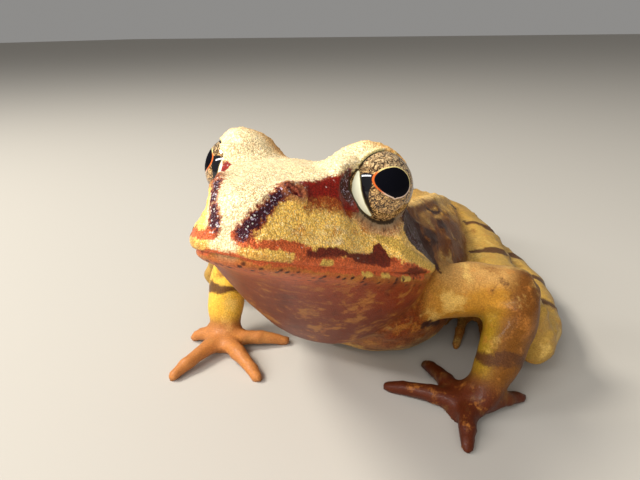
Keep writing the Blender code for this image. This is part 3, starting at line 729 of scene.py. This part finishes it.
def ground_colour(points, normals, head_points, belongs, colours):
    """The skin's broad colours, before its grain and markings, with some painted light and shade.
    """
    side, left, up = one_side(head_points), left_side(points), normals[:, 2]
    head_up = (moved(points * MM + normals * MM, TO_HEAD) - head_points)[:, 2]
    above = side[:, 2] - mouth_level(side[:, 1])
    near = points[:, 0] > 0
    paint = np.tile(np.array(colours.ochre[:3]), (len(points), 1))

    def lay(name, weight):
        nonlocal paint
        over = np.array(tone(colours, name)[:3])
        paint = paint + (over - paint) * np.clip(weight, 0.0, 1.0)[:, None]

    trunk = belongs["trunk"]
    # painted light: the trunk is laid gold where it faces up
    lay("gold", trunk * ramp(up, 0.3, 0.9) * 0.5)
    fold = np.maximum(chain_distance(left, on_trunk(BACK_FOLD)), 0.0)
    # the back fold is painted pale along its crest: partly its own colour, partly painted light on
    # the ridge
    lay("back fold", trunk * hump(fold, 1.0) * 0.8)
    ahead = 1.0 - ramp(points[:, 1], 5.0, 12.0)
    lay("front flank", trunk * (1.0 - ramp(up, 0.7, 0.95)) * ahead * 0.95)
    lay("olive", trunk * ramp(-up, -0.1, 0.4) * ramp(points[:, 1], 0.0, 6.0))
    # the belly's dark colour is partly painted shade under the trunk
    lay("belly", trunk * ramp(-up, 0.3, 0.8))
    lay("rust", trunk * ramp(-points[:, 1], 6.0, 12.0) * ramp(-up, -0.3, 0.3) * 0.7)

    arm, leg = (belongs[a] + belongs[b] for a, b in (("upper_arm", "forearm"), ("thigh", "shank")))
    lay("amber", arm)
    # painted highlight: the upper arm is lightened with cream where it faces up
    lay("cream", belongs["upper_arm"] * ramp(up, 0.3, 0.95) * 0.14)
    # painted shade on the near arm's elbow and the lower part of its forearm, and painted light on
    # the arm on the far side
    lay("outer elbow", arm * ramp(left[:, 0], 17.8, 20.0) * near * 0.95)
    lay("lower forearm", belongs["forearm"] * (1.0 - ramp(left[:, 2], 8.5, 11.0)) * near * 0.8)
    lay("inner forearm", belongs["forearm"] * ramp(-left[:, 0], -19.0, -17.6) * 0.85)
    lay("far arm", arm * ~near * 0.8)
    lay("olive", leg * 0.85)
    # painted light: the legs are laid gold where they face up
    lay("gold", leg * ramp(up, 0.2, 0.9) * 0.25)
    lay("ochre", belongs["foot"])
    # painted shade on every hand, then painted light over the hand on the far side
    lay("finger", belongs["hand"])
    lay("far hand", belongs["hand"] * ~near * 0.75)

    head, back = belongs["head"], side[:, 1]
    lay("gold", head)
    cheek = ramp(back, 8.0, 11.0) * (1.0 - ramp(side[:, 2], 1.0, 2.5))
    # partly painted light: the head is laid cream where it faces up, its own pale top made lighter
    # as if lit from above
    lay("cream", head * ramp(head_up, 0.35, 0.75) * (1.0 - cheek))
    lay("cream", head * ramp(side[:, 2], 3.2, 4.1) * (1.0 - ramp(back, 16.0, 20.0)) * 0.9)
    between = 1.0 - ramp(side[:, 0] - 1.9 - 0.4 * side[:, 2], 0.0, 0.5)
    lay("cream", head * between * (1.0 - ramp(back, 2.5, 5.0)))
    lay("ochre", head * ramp(back, 20.0, 25.0) * 0.7)
    jaw = np.maximum(belongs["lower_jaw"], head * (1.0 - ramp(above, -0.25, 0.1)))
    lay("rust", jaw)
    lay("brick", jaw * hump(above + 0.8, 0.9) * (1.0 - ramp(back, 5.0, 12.0)) * 0.8)
    # painted shade: umber darkens the throat further down below the mouth line
    lay("umber", jaw * ramp(-above, 0.5, 6.0) * 0.5)

    past = past_lids(head_points)
    reach, *_, low, _ = round_eyes(head_points)
    brow = (1.0 - ramp(reach, EYE_RADIUS + 1.6, EYE_RADIUS + 2.6)) * head
    lay("cream", brow * (1.0 - low))
    lay("back of brow", brow * (1.0 - low) * ramp(back, 11.0, 13.5) * 0.85)
    lay("under the eye", head * low * (1.0 - ramp(past, 1.4, 2.2)) * 0.8)
    # painted shade in the groove below the lower lid
    lay("groove under the eye", head * low * hump(past - 0.78, 0.2) * 0.85)
    lay("lid", head * low * (1.0 - ramp(past, 0.5, 0.65)))
    lay("upper lid", head * (1.0 - low) * (1.0 - ramp(past, 0.1, 0.2)))
    return paint


def mark_skin(skin, belongs, colours):
    """Keep the skin's broad colours and where each marking lies on it."""
    mesh = skin.data
    points, normals = places(mesh) / MM, outward(mesh)
    head_points = moved(points * MM, TO_HEAD)
    side, left = one_side(head_points), left_side(points)
    above = side[:, 2] - mouth_level(side[:, 1])
    head, jaw, hand, trunk = (belongs[part] for part in ("head", "lower_jaw", "hand", "trunk"))
    paint = ground_colour(points, normals, head_points, belongs, colours)
    ground = mesh.color_attributes.new("ground", "FLOAT_COLOR", "POINT")
    ground.data.foreach_set("color", np.column_stack((paint, np.ones(len(paint)))).ravel())

    stripes = [chain_distance(head_points * [sign, 1.0, 1.0], SNOUT_STRIPES[name])
               for name, sign in SIDES.items()]
    flank = (trunk > 0.8) & (points[:, 2] > 6.0) & (normals[:, 2] > -0.2)
    spots, sizes = chosen_spots(points, flank, *BLOTCHES)
    blotches = (0.5 - scattered(points, spots, sizes)) * 1.2
    body_marks = nearest(left, [on_trunk(mark) for mark in (SHOULDER_MASK, *BODY_MARKS)])
    chest = ramp(-points[:, 1], 4.0, 9.0) * ramp(-normals[:, 2], -0.4, 0.2)
    past = past_lids(head_points)
    *_, low, _ = round_eyes(head_points)
    bare = low * (1.0 - ramp(past, 0.9, 1.6))
    crown = ramp(paint[:, 2], 0.16, 0.26) * (1.0 - bare)
    grain = 1.0 - 0.8 * (1.0 - ramp(past, 0.4, 0.9)) * (0.3 + 0.7 * low)
    grain *= 1.0 - 0.6 * (hand + jaw)
    grain *= 1.0 - 0.5 * sum(belongs[part] for part in ("upper_arm", "forearm", "thigh", "shank"))

    kept = {
        "mask": nearest(side, (MASK, EYE_FRONT)),
        "corner": chain_distance(side, EYE_FRONT),
        "glow": chain_distance(side, MASK_GLOW),
        "plum": np.minimum(*stripes),
        "nostril": chain_distance(side, NOSTRIL),
        "brick": nearest(side, (LIP_BAND, LIP_ZONE, CHIN_EDGE)),
        "lobes": nearest(side, LIP_LOBES),
        "umber": np.minimum.reduce([nearest(side, (CHEEK_MASK, EAR_MASK)), body_marks, blotches]),
        "bars": np.minimum(bar_distance(left, belongs), nearest(left, ELBOW_MARKS)),
        "pale": nearest(side, (CHEEK_STRIPE, *LIP_SPOTS)),
        "lid": past,
        "throat": np.clip(jaw + trunk * chest, 0.0, 1.0),
        "mouth": hump(above + 0.6, 0.9) * (head + jaw) * ramp(-side[:, 1], -20.0, -16.0),
        "crown": head * crown,
        "cheek": head * (1.0 - crown) * (1.0 - bare) * ramp(above, 0.3, 0.6),
        "limbs": 1.0 - head - jaw - 0.85 * hand,
        "grain": grain,
    }
    for name, values in kept.items():
        store(mesh, name, values)


# Finishes

def group_sockets(tree, inputs, outputs):
    """Give a node group its named inputs and outputs, and return its two end nodes."""
    for name, kind, value in inputs:
        tree.interface.new_socket(name, in_out="INPUT", socket_type=kind).default_value = value
    for name, kind in outputs:
        tree.interface.new_socket(name, in_out="OUTPUT", socket_type=kind)
    return tree.nodes.new("NodeGroupInput").outputs, tree.nodes.new("NodeGroupOutput").inputs


def feed(tree, socket, source):
    """Join a socket to another, or give it a plain value."""
    if isinstance(source, bpy.types.NodeSocket):
        tree.links.new(source, socket)
    else:
        socket.default_value = source


def blend(tree, factor, under, over, mode="MIX"):
    """One colour laid over another where the factor says."""
    mix = tree.nodes.new("ShaderNodeMix")
    mix.data_type = "RGBA"
    mix.blend_type = mode
    for socket, source in ((mix.inputs[0], factor), (mix.inputs[6], under), (mix.inputs[7], over)):
        feed(tree, socket, source)
    return mix.outputs[2]


def calculate(tree, operation, *terms):
    """One step of arithmetic on values or sockets."""
    node = tree.nodes.new("ShaderNodeMath")
    node.operation = operation
    for socket, term in zip(node.inputs, terms):
        feed(tree, socket, term)
    return node.outputs[0]


def spread(tree, value, low, high, to_low=0.0, to_high=1.0):
    """A value taken smoothly from one range to another."""
    node = tree.nodes.new("ShaderNodeMapRange")
    node.interpolation_type = "SMOOTHSTEP"
    for name, term in (("Value", value), ("From Min", low), ("From Max", high), ("To Min", to_low),
                       ("To Max", to_high)):
        feed(tree, node.inputs[name], term)
    return node.outputs["Result"]


def pattern(tree, kind, vector, **values):
    """A noise or cell texture read at a place."""
    node = tree.nodes.new(kind)
    tree.links.new(vector, node.inputs["Vector"])
    for name, value in values.items():
        feed(tree, node.inputs[name], value)
    return node


def object_place(tree):
    """Each point's place on its own object."""
    return tree.nodes.new("ShaderNodeTexCoord").outputs["Object"]


def marking_group():
    """Turns a distance from a marking's edge into a mask with a ragged, granular edge."""
    tree = bpy.data.node_groups.new("Ragged marking", "ShaderNodeTree")
    inputs = (("Distance", "NodeSocketFloat", 0.0), ("Ragged", "NodeSocketFloat", 0.6),
              ("Edge", "NodeSocketFloat", 0.07), ("Scale", "NodeSocketFloat", 1500.0))
    into, out = group_sockets(tree, inputs, (("Mask", "NodeSocketFloat"),))
    noise = pattern(tree, "ShaderNodeTexNoise", object_place(tree), Scale=into["Scale"], Detail=4.0,
                    Roughness=0.7)
    wander = calculate(tree, "SUBTRACT", noise.outputs["Fac"], 0.5)
    shifted = calculate(tree, "MULTIPLY_ADD", wander, into["Ragged"], into["Distance"])
    inner = calculate(tree, "MULTIPLY", into["Edge"], -1.0)
    tree.links.new(spread(tree, shifted, inner, into["Edge"], 1.0, 0.0), out["Mask"])
    return tree


def granule_group():
    """Breaks a colour into fine grains with painted shade in the gaps between them, and gives the
    height of the grains.
    """
    tree = bpy.data.node_groups.new("Skin granules", "ShaderNodeTree")
    inputs = (("Colour", "NodeSocketColor", (0.5, 0.5, 0.5, 1.0)),
              ("Strength", "NodeSocketFloat", 1.0), ("Scale", "NodeSocketFloat", 6200.0))
    outputs = (("Colour", "NodeSocketColor"), ("Height", "NodeSocketFloat"))
    into, out = group_sockets(tree, inputs, outputs)
    cells = pattern(tree, "ShaderNodeTexVoronoi", object_place(tree), Scale=into["Scale"])
    apart = tree.nodes.new("ShaderNodeSeparateColor")
    tree.links.new(cells.outputs["Color"], apart.inputs[0])
    shade = spread(tree, apart.outputs[0], 0.0, 1.0, 0.7, 1.3)
    grey = tree.nodes.new("ShaderNodeCombineColor")
    for socket in grey.inputs[:3]:
        tree.links.new(shade, socket)
    varied = blend(tree, into["Strength"], into["Colour"], grey.outputs[0], "MULTIPLY")
    # painted shade in the gaps between the grains
    gap = spread(tree, cells.outputs["Distance"], 0.3, 0.72, 0.0, 0.5)
    dark = blend(tree, 1.0, varied, (*TONES["granule gap shade"], 1.0), "MULTIPLY")
    between = calculate(tree, "MULTIPLY", gap, into["Strength"])
    tree.links.new(blend(tree, between, varied, dark), out["Colour"])
    height = calculate(tree, "SUBTRACT", 1.0, cells.outputs["Distance"])
    tree.links.new(calculate(tree, "MULTIPLY", height, into["Strength"]), out["Height"])
    return tree


def new_finish(name, roughness, coat, coat_roughness):
    """A material, its node tree and its shader, with the constants set on the shader itself."""
    material = bpy.data.materials.new(name)
    material.use_nodes = True
    tree = material.node_tree
    shader = tree.nodes["Principled BSDF"]
    shader.inputs["Roughness"].default_value = roughness
    shader.inputs["Coat Weight"].default_value = coat
    shader.inputs["Coat Roughness"].default_value = coat_roughness
    return material, tree, shader


def read_value(tree, name, output="Fac"):
    """What is kept under a name at each point of the mesh."""
    node = tree.nodes.new("ShaderNodeAttribute")
    node.attribute_name = name
    return node.outputs[output]


def use_group(tree, group, **values):
    """Place a node group with its own values, and return what it puts out."""
    node = tree.nodes.new("ShaderNodeGroup")
    node.node_tree = group
    for name, value in values.items():
        feed(tree, node.inputs[name], value)
    return node.outputs


def specks(tree, scale, share, low, high):
    """Small round specks in a random share of the cells of a cell texture."""
    cells = pattern(tree, "ShaderNodeTexVoronoi", object_place(tree), Scale=scale)
    apart = tree.nodes.new("ShaderNodeSeparateColor")
    tree.links.new(cells.outputs["Color"], apart.inputs[0])
    chosen = calculate(tree, "LESS_THAN", apart.outputs[1], share)
    round_spots = spread(tree, cells.outputs["Distance"], low, high, 1.0, 0.0)
    return calculate(tree, "MULTIPLY", chosen, round_spots)


class Layers:
    """A colour built up by laying tones over it, each where a mask says."""

    def __init__(self, tree, colours, ground):
        self.tree, self.colours, self.colour = tree, colours, ground

    def lay(self, over, mask, *within, mode="MIX"):
        """Lay a named tone or a socket's colour over, its mask lessened by each share given."""
        for share in within:
            mask = calculate(self.tree, "MULTIPLY", mask, share)
        over = tone(self.colours, over) if isinstance(over, str) else over
        self.colour = blend(self.tree, mask, self.colour, over, mode)


def skin_finish(colours):
    """Moist, granular skin with its markings."""
    material, tree, shader = new_finish("Moist skin", 0.45, 0.04, 0.12)
    shader.inputs["Specular IOR Level"].default_value = 0.2
    marking, granules, here = marking_group(), granule_group(), object_place(tree)
    crown, cheek, limbs, throat, mouth = (
        read_value(tree, name) for name in ("crown", "cheek", "limbs", "throat", "mouth"))

    def noise(scale, detail, roughness=0.5):
        values = {"Scale": scale, "Detail": detail, "Roughness": roughness}
        return pattern(tree, "ShaderNodeTexNoise", here, **values).outputs["Fac"]

    def marked(name, ragged, edge, scale, inset=0.0):
        distance = calculate(tree, "ADD", read_value(tree, name), inset)
        values = {"Distance": distance, "Ragged": ragged, "Edge": edge, "Scale": scale}
        return use_group(tree, marking, **values)["Mask"]

    skin = Layers(tree, colours, read_value(tree, "ground", "Color"))
    cloud, pale = noise(700.0, 5.0, 0.7), noise(420.0, 3.0)
    skin.lay("clouding", spread(tree, cloud, 0.54, 0.7, 0.0, 0.5),
             spread(tree, crown, 0.0, 1.0, 1.0, 0.4))
    skin.lay("brightening", spread(tree, pale, 0.5, 0.66, 0.0, 0.35), mode="MULTIPLY")
    skin.lay("cheek rust", spread(tree, pale, 0.32, 0.44, 0.55, 0.0), cheek)
    skin.lay("gilt", specks(tree, 6800.0, 0.42, 0.25, 0.6), cheek, 0.75)
    mottle, patches = noise(260.0, 5.0, 0.65), noise(330.0, 4.0, 0.65)
    skin.lay("limb tan", spread(tree, mottle, 0.3, 0.43, 0.75, 0.0), limbs)
    skin.lay("limb straw", spread(tree, mottle, 0.54, 0.68, 0.0, 0.45), limbs)
    skin.lay("throat yellow", spread(tree, patches, 0.52, 0.64, 0.0, 0.45), throat)
    skin.lay("throat brown", spread(tree, patches, 0.34, 0.46, 0.7, 0.0), throat)

    skin.lay("brick", marked("brick", 0.9, 0.1, 1800.0))
    skin.lay("lip lobe", marked("lobes", 0.8, 0.12, 2000.0))
    skin.lay("bar", marked("bars", 1.7, 0.25, 900.0), 0.95)
    umber = marked("umber", 2.2, 0.2, 900.0)
    skin.lay("umber", umber)
    skin.lay("lip spot", marked("pale", 0.5, 0.1, 2000.0))
    skin.lay("lip dot", specks(tree, 1700.0, 0.5, 0.18, 0.46), mouth)
    skin.lay("mask glow", marked("glow", 1.6, 0.35, 2600.0))
    skin.lay("maroon", marked("mask", 0.9, 0.16, 2200.0))
    corner = marked("corner", 0.6, 0.2, 1500.0, 0.1)
    skin.lay("front of the eye", corner)
    skin.lay("stripe edge", marked("plum", 1.8, 0.22, 1900.0, -0.14))
    plum = marked("plum", 1.5, 0.12, 1900.0, 0.08)
    skin.lay("plum", plum)
    skin.lay("nostril mound", marked("nostril", 0.6, 0.2, 1500.0, -0.8), 0.8)
    skin.lay("nostril edge", marked("nostril", 0.9, 0.12, 2200.0, -0.46))
    skin.lay("nostril lip", marked("nostril", 0.7, 0.12, 2200.0, -0.3))
    # painted shade inside the nostril's opening
    skin.lay("shaded nostril slit", marked("nostril", 0.1, 0.05, 1500.0, -0.15))

    grains = use_group(tree, granules, Colour=skin.colour, Strength=read_value(tree, "grain"),
                       Scale=8600.0)
    skin.colour = grains["Colour"]
    # painted glints: pale spots, raised a little as well, on the snout stripes, the dark marks of
    # the head and in front of the eyes
    umber_glints = calculate(tree, "MULTIPLY", calculate(tree, "SUBTRACT", umber, limbs), 0.5)
    wet = calculate(tree, "MAXIMUM", plum, umber_glints)
    wet = calculate(tree, "MULTIPLY", wet, spread(tree, cloud, 0.42, 0.56))
    wet = calculate(tree, "MAXIMUM", wet, corner)
    glint = calculate(tree, "MULTIPLY", spread(tree, noise(5600.0, 1.0), 0.58, 0.66), wet)
    skin.lay("painted sparkle", glint, 0.75)
    skin.lay("crown speck", specks(tree, 2300.0, 0.16, 0.1, 0.42), crown, 0.6)
    # painted sparkle: white specks over the pale crown
    skin.lay("painted crown sparkle", specks(tree, 5200.0, 0.22, 0.2, 0.5), crown, 0.55)
    # painted shade: a dark line on the skin where the lids meet the eyeball
    skin.lay("lid contact shadow", spread(tree, read_value(tree, "lid"), -0.04, 0.12, 1.0, 0.0))

    tree.links.new(skin.colour, shader.inputs["Base Color"])
    tree.links.new(spread(tree, plum, 0.0, 1.0, 0.46, 0.22), shader.inputs["Roughness"])
    bump = tree.nodes.new("ShaderNodeBump")
    bump.inputs["Strength"].default_value = 0.55
    bump.inputs["Distance"].default_value = 0.00011
    height = calculate(tree, "MULTIPLY_ADD", glint, 0.8, grains["Height"])
    tree.links.new(height, bump.inputs["Height"])
    tree.links.new(bump.outputs["Normal"], shader.inputs["Normal"])
    return material


# Operators

class FROG_OT_skin(bpy.types.Operator):
    """Grow one skin over every node of flesh, shape its face and folds, and mark it"""
    bl_idname = "frog.skin"
    bl_label = "Skin"

    def execute(self, context):
        skin, belongs = make_skin(context.scene.frog_shape)
        mark_skin(skin, belongs, context.scene.frog_colours)
        skin.data.materials.append(skin_finish(context.scene.frog_colours))
        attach(skin, "root")
        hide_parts(*FLESH)
        return {"FINISHED"}


def make_eyeball(side):
    """One eyeball, its pole on the pupil, with where each point lies over the eye kept on it."""
    sign = SIDES[side]
    out = looking(PUPIL_LOOKS[side], sign)
    up = (Vector((0.0, 0.0, 1.0)) - out * out.z).normalized()
    forward = out.cross(up) * sign
    bm = bmesh.new()
    bmesh.ops.create_uvsphere(bm, u_segments=128, v_segments=64, radius=EYE_RADIUS)
    own = np.array([v.co for v in bm.verts])
    turn = Matrix((forward, up, out)).transposed().to_4x4()
    centre = Matrix.Translation((sign * EYE_AT[0], EYE_AT[1], EYE_AT[2]))
    bmesh.ops.transform(bm, matrix=centre @ turn, verts=bm.verts)
    past = past_lids(np.array([v.co for v in bm.verts]))
    bmesh.ops.transform(bm, matrix=TO_MODEL, verts=bm.verts)
    bmesh.ops.recalc_face_normals(bm, faces=bm.faces)
    eye = new_object("eyeball_" + side, bm)

    from_pupil = np.arccos(np.clip(own[:, 2] / EYE_RADIUS, -1.0, 1.0)) * EYE_RADIUS
    aside = np.maximum(np.linalg.norm(own[:, :2], axis=1), 1e-6)
    flat = np.column_stack((own[:, :2] / aside[:, None] * from_pupil[:, None], np.zeros(len(own))))
    x, y = flat[:, 0], flat[:, 1] - PUPIL_RAISED
    to_snout, to_back, half_height = PUPIL_HALF
    flattened = np.abs(y / half_height) ** 2
    snout_half = (np.maximum(x, 0.0) / to_snout) ** PUPIL_POINT + flattened
    back_half = (np.maximum(-x, 0.0) / to_back) ** 2 + flattened
    notch = 0.1 * hump(x + 0.15, 0.12) * (y < 0)
    kept = {
        "iris_x": x,
        "iris_y": y,
        "pupil": (np.maximum(snout_half, back_half) - 1.0) * 0.68 - notch,
        "crescent": chain_distance(flat, CRESCENT),
        "front": chain_distance(flat, FRONT_DARK),
        "rim": past,
    }
    for name, values in kept.items():
        store(eye.data, name, values)
    eye.data.shade_smooth()
    return eye


def eye_finish(colours):
    """A wet eye: veined golden iris, lighter towards the top partly as painted light, ringed black
    pupil, a pale front crescent partly of painted light, and a dark rim of painted shade.
    """
    material, tree, shader = new_finish("Wet eye", 0.3, 1.0, 0.03)
    shader.inputs["Specular IOR Level"].default_value = 0.0
    x, y, pupil = (read_value(tree, name) for name in ("iris_x", "iris_y", "pupil"))
    flat = tree.nodes.new("ShaderNodeCombineXYZ")
    tree.links.new(x, flat.inputs[0])
    tree.links.new(y, flat.inputs[1])
    spot = flat.outputs[0]
    bend = pattern(tree, "ShaderNodeTexNoise", spot, Scale=1.6, Detail=3.0, Roughness=0.6)
    bent = tree.nodes.new("ShaderNodeVectorMath")
    bent.operation = "MULTIPLY_ADD"
    tree.links.new(bend.outputs["Color"], bent.inputs[0])
    bent.inputs[1].default_value = (0.9, 0.9, 0.0)
    tree.links.new(spot, bent.inputs[2])

    # the iris is painted lighter towards the top, partly as painted light from above
    high = spread(tree, y, 0.2, 1.6)
    light, dark = (blend(tree, high, tone(colours, f"iris {shade} below"),
                         tone(colours, f"iris {shade} above")) for shade in ("light", "dark"))
    metal = pattern(tree, "ShaderNodeTexNoise", bent.outputs[0], Scale=7.0, Detail=4.0,
                    Roughness=0.75)
    bright = spread(tree, metal.outputs["Fac"], 0.4, 0.62)
    eye = Layers(tree, colours, blend(tree, bright, dark, light))
    for scale, width, strength in ((1.5, 0.07, 0.95), (3.4, 0.08, 0.85)):
        veins = pattern(tree, "ShaderNodeTexVoronoi", bent.outputs[0], Scale=scale)
        veins.feature = "DISTANCE_TO_EDGE"
        patchy = pattern(tree, "ShaderNodeTexNoise", spot, Scale=scale * 0.8)
        thread = spread(tree, veins.outputs["Distance"], width * 0.35, width, strength, 0.0)
        eye.lay("iris vein", thread, spread(tree, patchy.outputs["Fac"], 0.34, 0.48))

    ring = blend(tree, spread(tree, y, -0.3, 0.3), tone(colours, "pupil ring below"),
                 tone(colours, "pupil ring above"))
    ahead = calculate(tree, "MULTIPLY_ADD", y, -0.35, x)
    ring = blend(tree, spread(tree, ahead, 1.0, 1.7), ring, tone(colours, "pupil ring ahead"))
    moon = read_value(tree, "crescent")
    eye.lay("iris front", spread(tree, read_value(tree, "front"), -0.04, 0.1, 1.0, 0.0))
    eye.lay(ring, spread(tree, pupil, 0.08, 0.12, 1.0, 0.0))
    # the pale crescent is partly the eye's own pale edge and partly painted light caught at the
    # front of the eye
    eye.lay("crescent edge", spread(tree, moon, 0.0, 0.12, 0.8, 0.0))
    eye.lay("crescent", spread(tree, moon, -0.05, 0.03, 1.0, 0.0))
    eye.lay("pupil", spread(tree, pupil, -0.015, 0.015, 1.0, 0.0))
    # painted shade on the eyeball where it goes in under the lids
    eye.lay("eyeball rim shadow", spread(tree, read_value(tree, "rim"), -0.18, -0.1))
    tree.links.new(eye.colour, shader.inputs["Base Color"])
    tree.links.new(spread(tree, pupil, -0.1, 0.05, 0.1, 1.0), shader.inputs["Coat Weight"])
    return material


class FROG_OT_eyes(bpy.types.Operator):
    """Make both eyeballs, with their irises and pupils"""
    bl_idname = "frog.eyes"
    bl_label = "Eyes"

    def execute(self, context):
        finish = eye_finish(context.scene.frog_colours)
        for side in SIDES:
            eye = make_eyeball(side)
            eye.data.materials.append(finish)
            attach(eye, "root")
            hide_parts("eye_" + side)
        return {"FINISHED"}


def plain_finish(name, colour, roughness):
    """A dull finish of one colour."""
    material, _, shader = new_finish(name, roughness, 0.0, 0.0)
    shader.inputs["Base Color"].default_value = (*colour, 1.0)
    return material


def area_light(name, power, size, spot, target, colour=(1.0, 1.0, 1.0), roll=0.0):
    """A rectangular light at a spot, aimed at a target."""
    light = bpy.data.lights.new(name, "AREA")
    light.energy = power
    light.shape = "RECTANGLE"
    light.size, light.size_y = size
    light.color = colour
    obj = bpy.data.objects.new(name, light)
    obj.location = spot
    aim = (Vector(target) - Vector(spot)).to_track_quat("-Z", "Y").to_matrix()
    obj.rotation_euler = (aim @ Matrix.Rotation(math.radians(roll), 3, "Z")).to_euler()
    bpy.context.scene.collection.objects.link(obj)
    return obj


FLOOR_HALF = 3.0             # metres
FLOOR_ROUGHNESS = 0.75
KEY_SIZE = (0.08, 0.08)      # lights' widths and heights, in metres
STRIP_SIZE = (0.6, 0.05)
FRONT_SIZE = (0.6, 0.6)
KEY_AT = (-0.18, -0.08, 0.25)    # metres, in the model's frame
KEY_AIM = (0.0, -0.01, 0.015)
STRIP_FROM = (-36.0, 21.0)   # degrees out from the snout and up, in the head's axes
STRIP_ROLL = 28.0            # degrees
FRONT_FROM = (5.0, 5.0)      # as for the strip
FACE_LIGHTS_OFF = 0.6        # metres from the face to the strip and front lights
LENS_AT = (16.69, -30.97, 0.51)  # the camera in the head's axes, in millimetres
LENS_TURN = 26.46            # degrees that it looks to the left of the model's +Y
LENS_DOWN = 22.0             # degrees below level
LENS_ROLL = -0.92            # degrees
LENS_LENGTH = 29.14          # millimetres, on a sensor 36 mm wide
SENSOR_WIDTH = 36.0


class FROG_OT_stage(bpy.types.Operator):
    """Set up the floor, the lights and the camera"""
    bl_idname = "frog.stage"
    bl_label = "Stage"

    def execute(self, context):
        stage = context.scene.frog_stage
        bm = bmesh.new()
        bmesh.ops.create_grid(bm, x_segments=1, y_segments=1, size=FLOOR_HALF)
        floor = new_object("floor", bm)
        floor.data.materials.append(plain_finish("Pale floor", TONES["floor"], FLOOR_ROUGHNESS))
        self.add_lights(stage)
        self.add_camera(context.scene)
        context.scene.view_settings.view_transform = "Standard"
        return {"FINISHED"}

    def add_lights(self, stage):
        """A key light, a strip and a large soft light in front of the face, and an even room."""
        face = TO_MODEL @ Vector((0.0, EYE_AT[1], 0.0))
        strip, front = (face + (TO_MODEL.to_3x3() @ looking(angles)).normalized() * FACE_LIGHTS_OFF
                        for angles in (STRIP_FROM, FRONT_FROM))
        area_light("Key light", stage.key_power, KEY_SIZE, KEY_AT, KEY_AIM, TONES["key light"])
        area_light("Strip light", stage.strip_power, STRIP_SIZE, strip, face, roll=STRIP_ROLL)
        soft = area_light("Front light", stage.front_power, FRONT_SIZE, front, face)
        soft.visible_glossy = False
        world = bpy.data.worlds.new("Room")
        world.use_nodes = True
        background = world.node_tree.nodes["Background"]
        background.inputs["Color"].default_value = (*TONES["room light"], 1.0)
        background.inputs["Strength"].default_value = stage.room
        bpy.context.scene.world = world

    def add_camera(self, scene):
        """A camera close in front of the snout, on the frog's left."""
        camera = bpy.data.cameras.new("Camera")
        camera.lens = LENS_LENGTH
        camera.sensor_width = SENSOR_WIDTH
        camera.clip_start = 0.001
        camera.clip_end = 20.0
        obj = bpy.data.objects.new("Camera", camera)
        turn = (Matrix.Rotation(math.radians(LENS_TURN), 4, "Z")
                @ Matrix.Rotation(math.radians(90.0 - LENS_DOWN), 4, "X")
                @ Matrix.Rotation(math.radians(LENS_ROLL), 4, "Z"))
        obj.matrix_world = Matrix.Translation(TO_MODEL @ Vector(LENS_AT)) @ turn
        scene.collection.objects.link(obj)
        scene.camera = obj


class FROG_PT_panel(bpy.types.Panel):
    """Sizes, colours and steps of the frog"""
    bl_idname = "FROG_PT_panel"
    bl_label = "Common frog"
    bl_space_type = "VIEW_3D"
    bl_region_type = "UI"
    bl_category = "Frog"

    def draw(self, context):
        for group in (getattr(context.scene, kept) for kept in GROUPS):
            for name in group.__annotations__:
                self.layout.prop(group, name)
        for step in STEPS:
            self.layout.operator(step.bl_idname)


STEPS = (FROG_OT_stage, FROG_OT_skin, FROG_OT_eyes)
GROUPS = {"frog_shape": FrogShape, "frog_colours": FrogColours, "frog_stage": FrogStage}


def register():
    for name, group in GROUPS.items():
        bpy.utils.register_class(group)
        setattr(bpy.types.Scene, name, PointerProperty(type=group))
    for step in (*STEPS, FROG_PT_panel):
        bpy.utils.register_class(step)


def unregister():
    for step in (FROG_PT_panel, *reversed(STEPS)):
        bpy.utils.unregister_class(step)
    for name, group in GROUPS.items():
        delattr(bpy.types.Scene, name)
        bpy.utils.unregister_class(group)


def main():
    register()
    bpy.ops.frog.stage()
    bpy.ops.frog.skin()
    bpy.ops.frog.eyes()


if __name__ == "__main__":
    main()
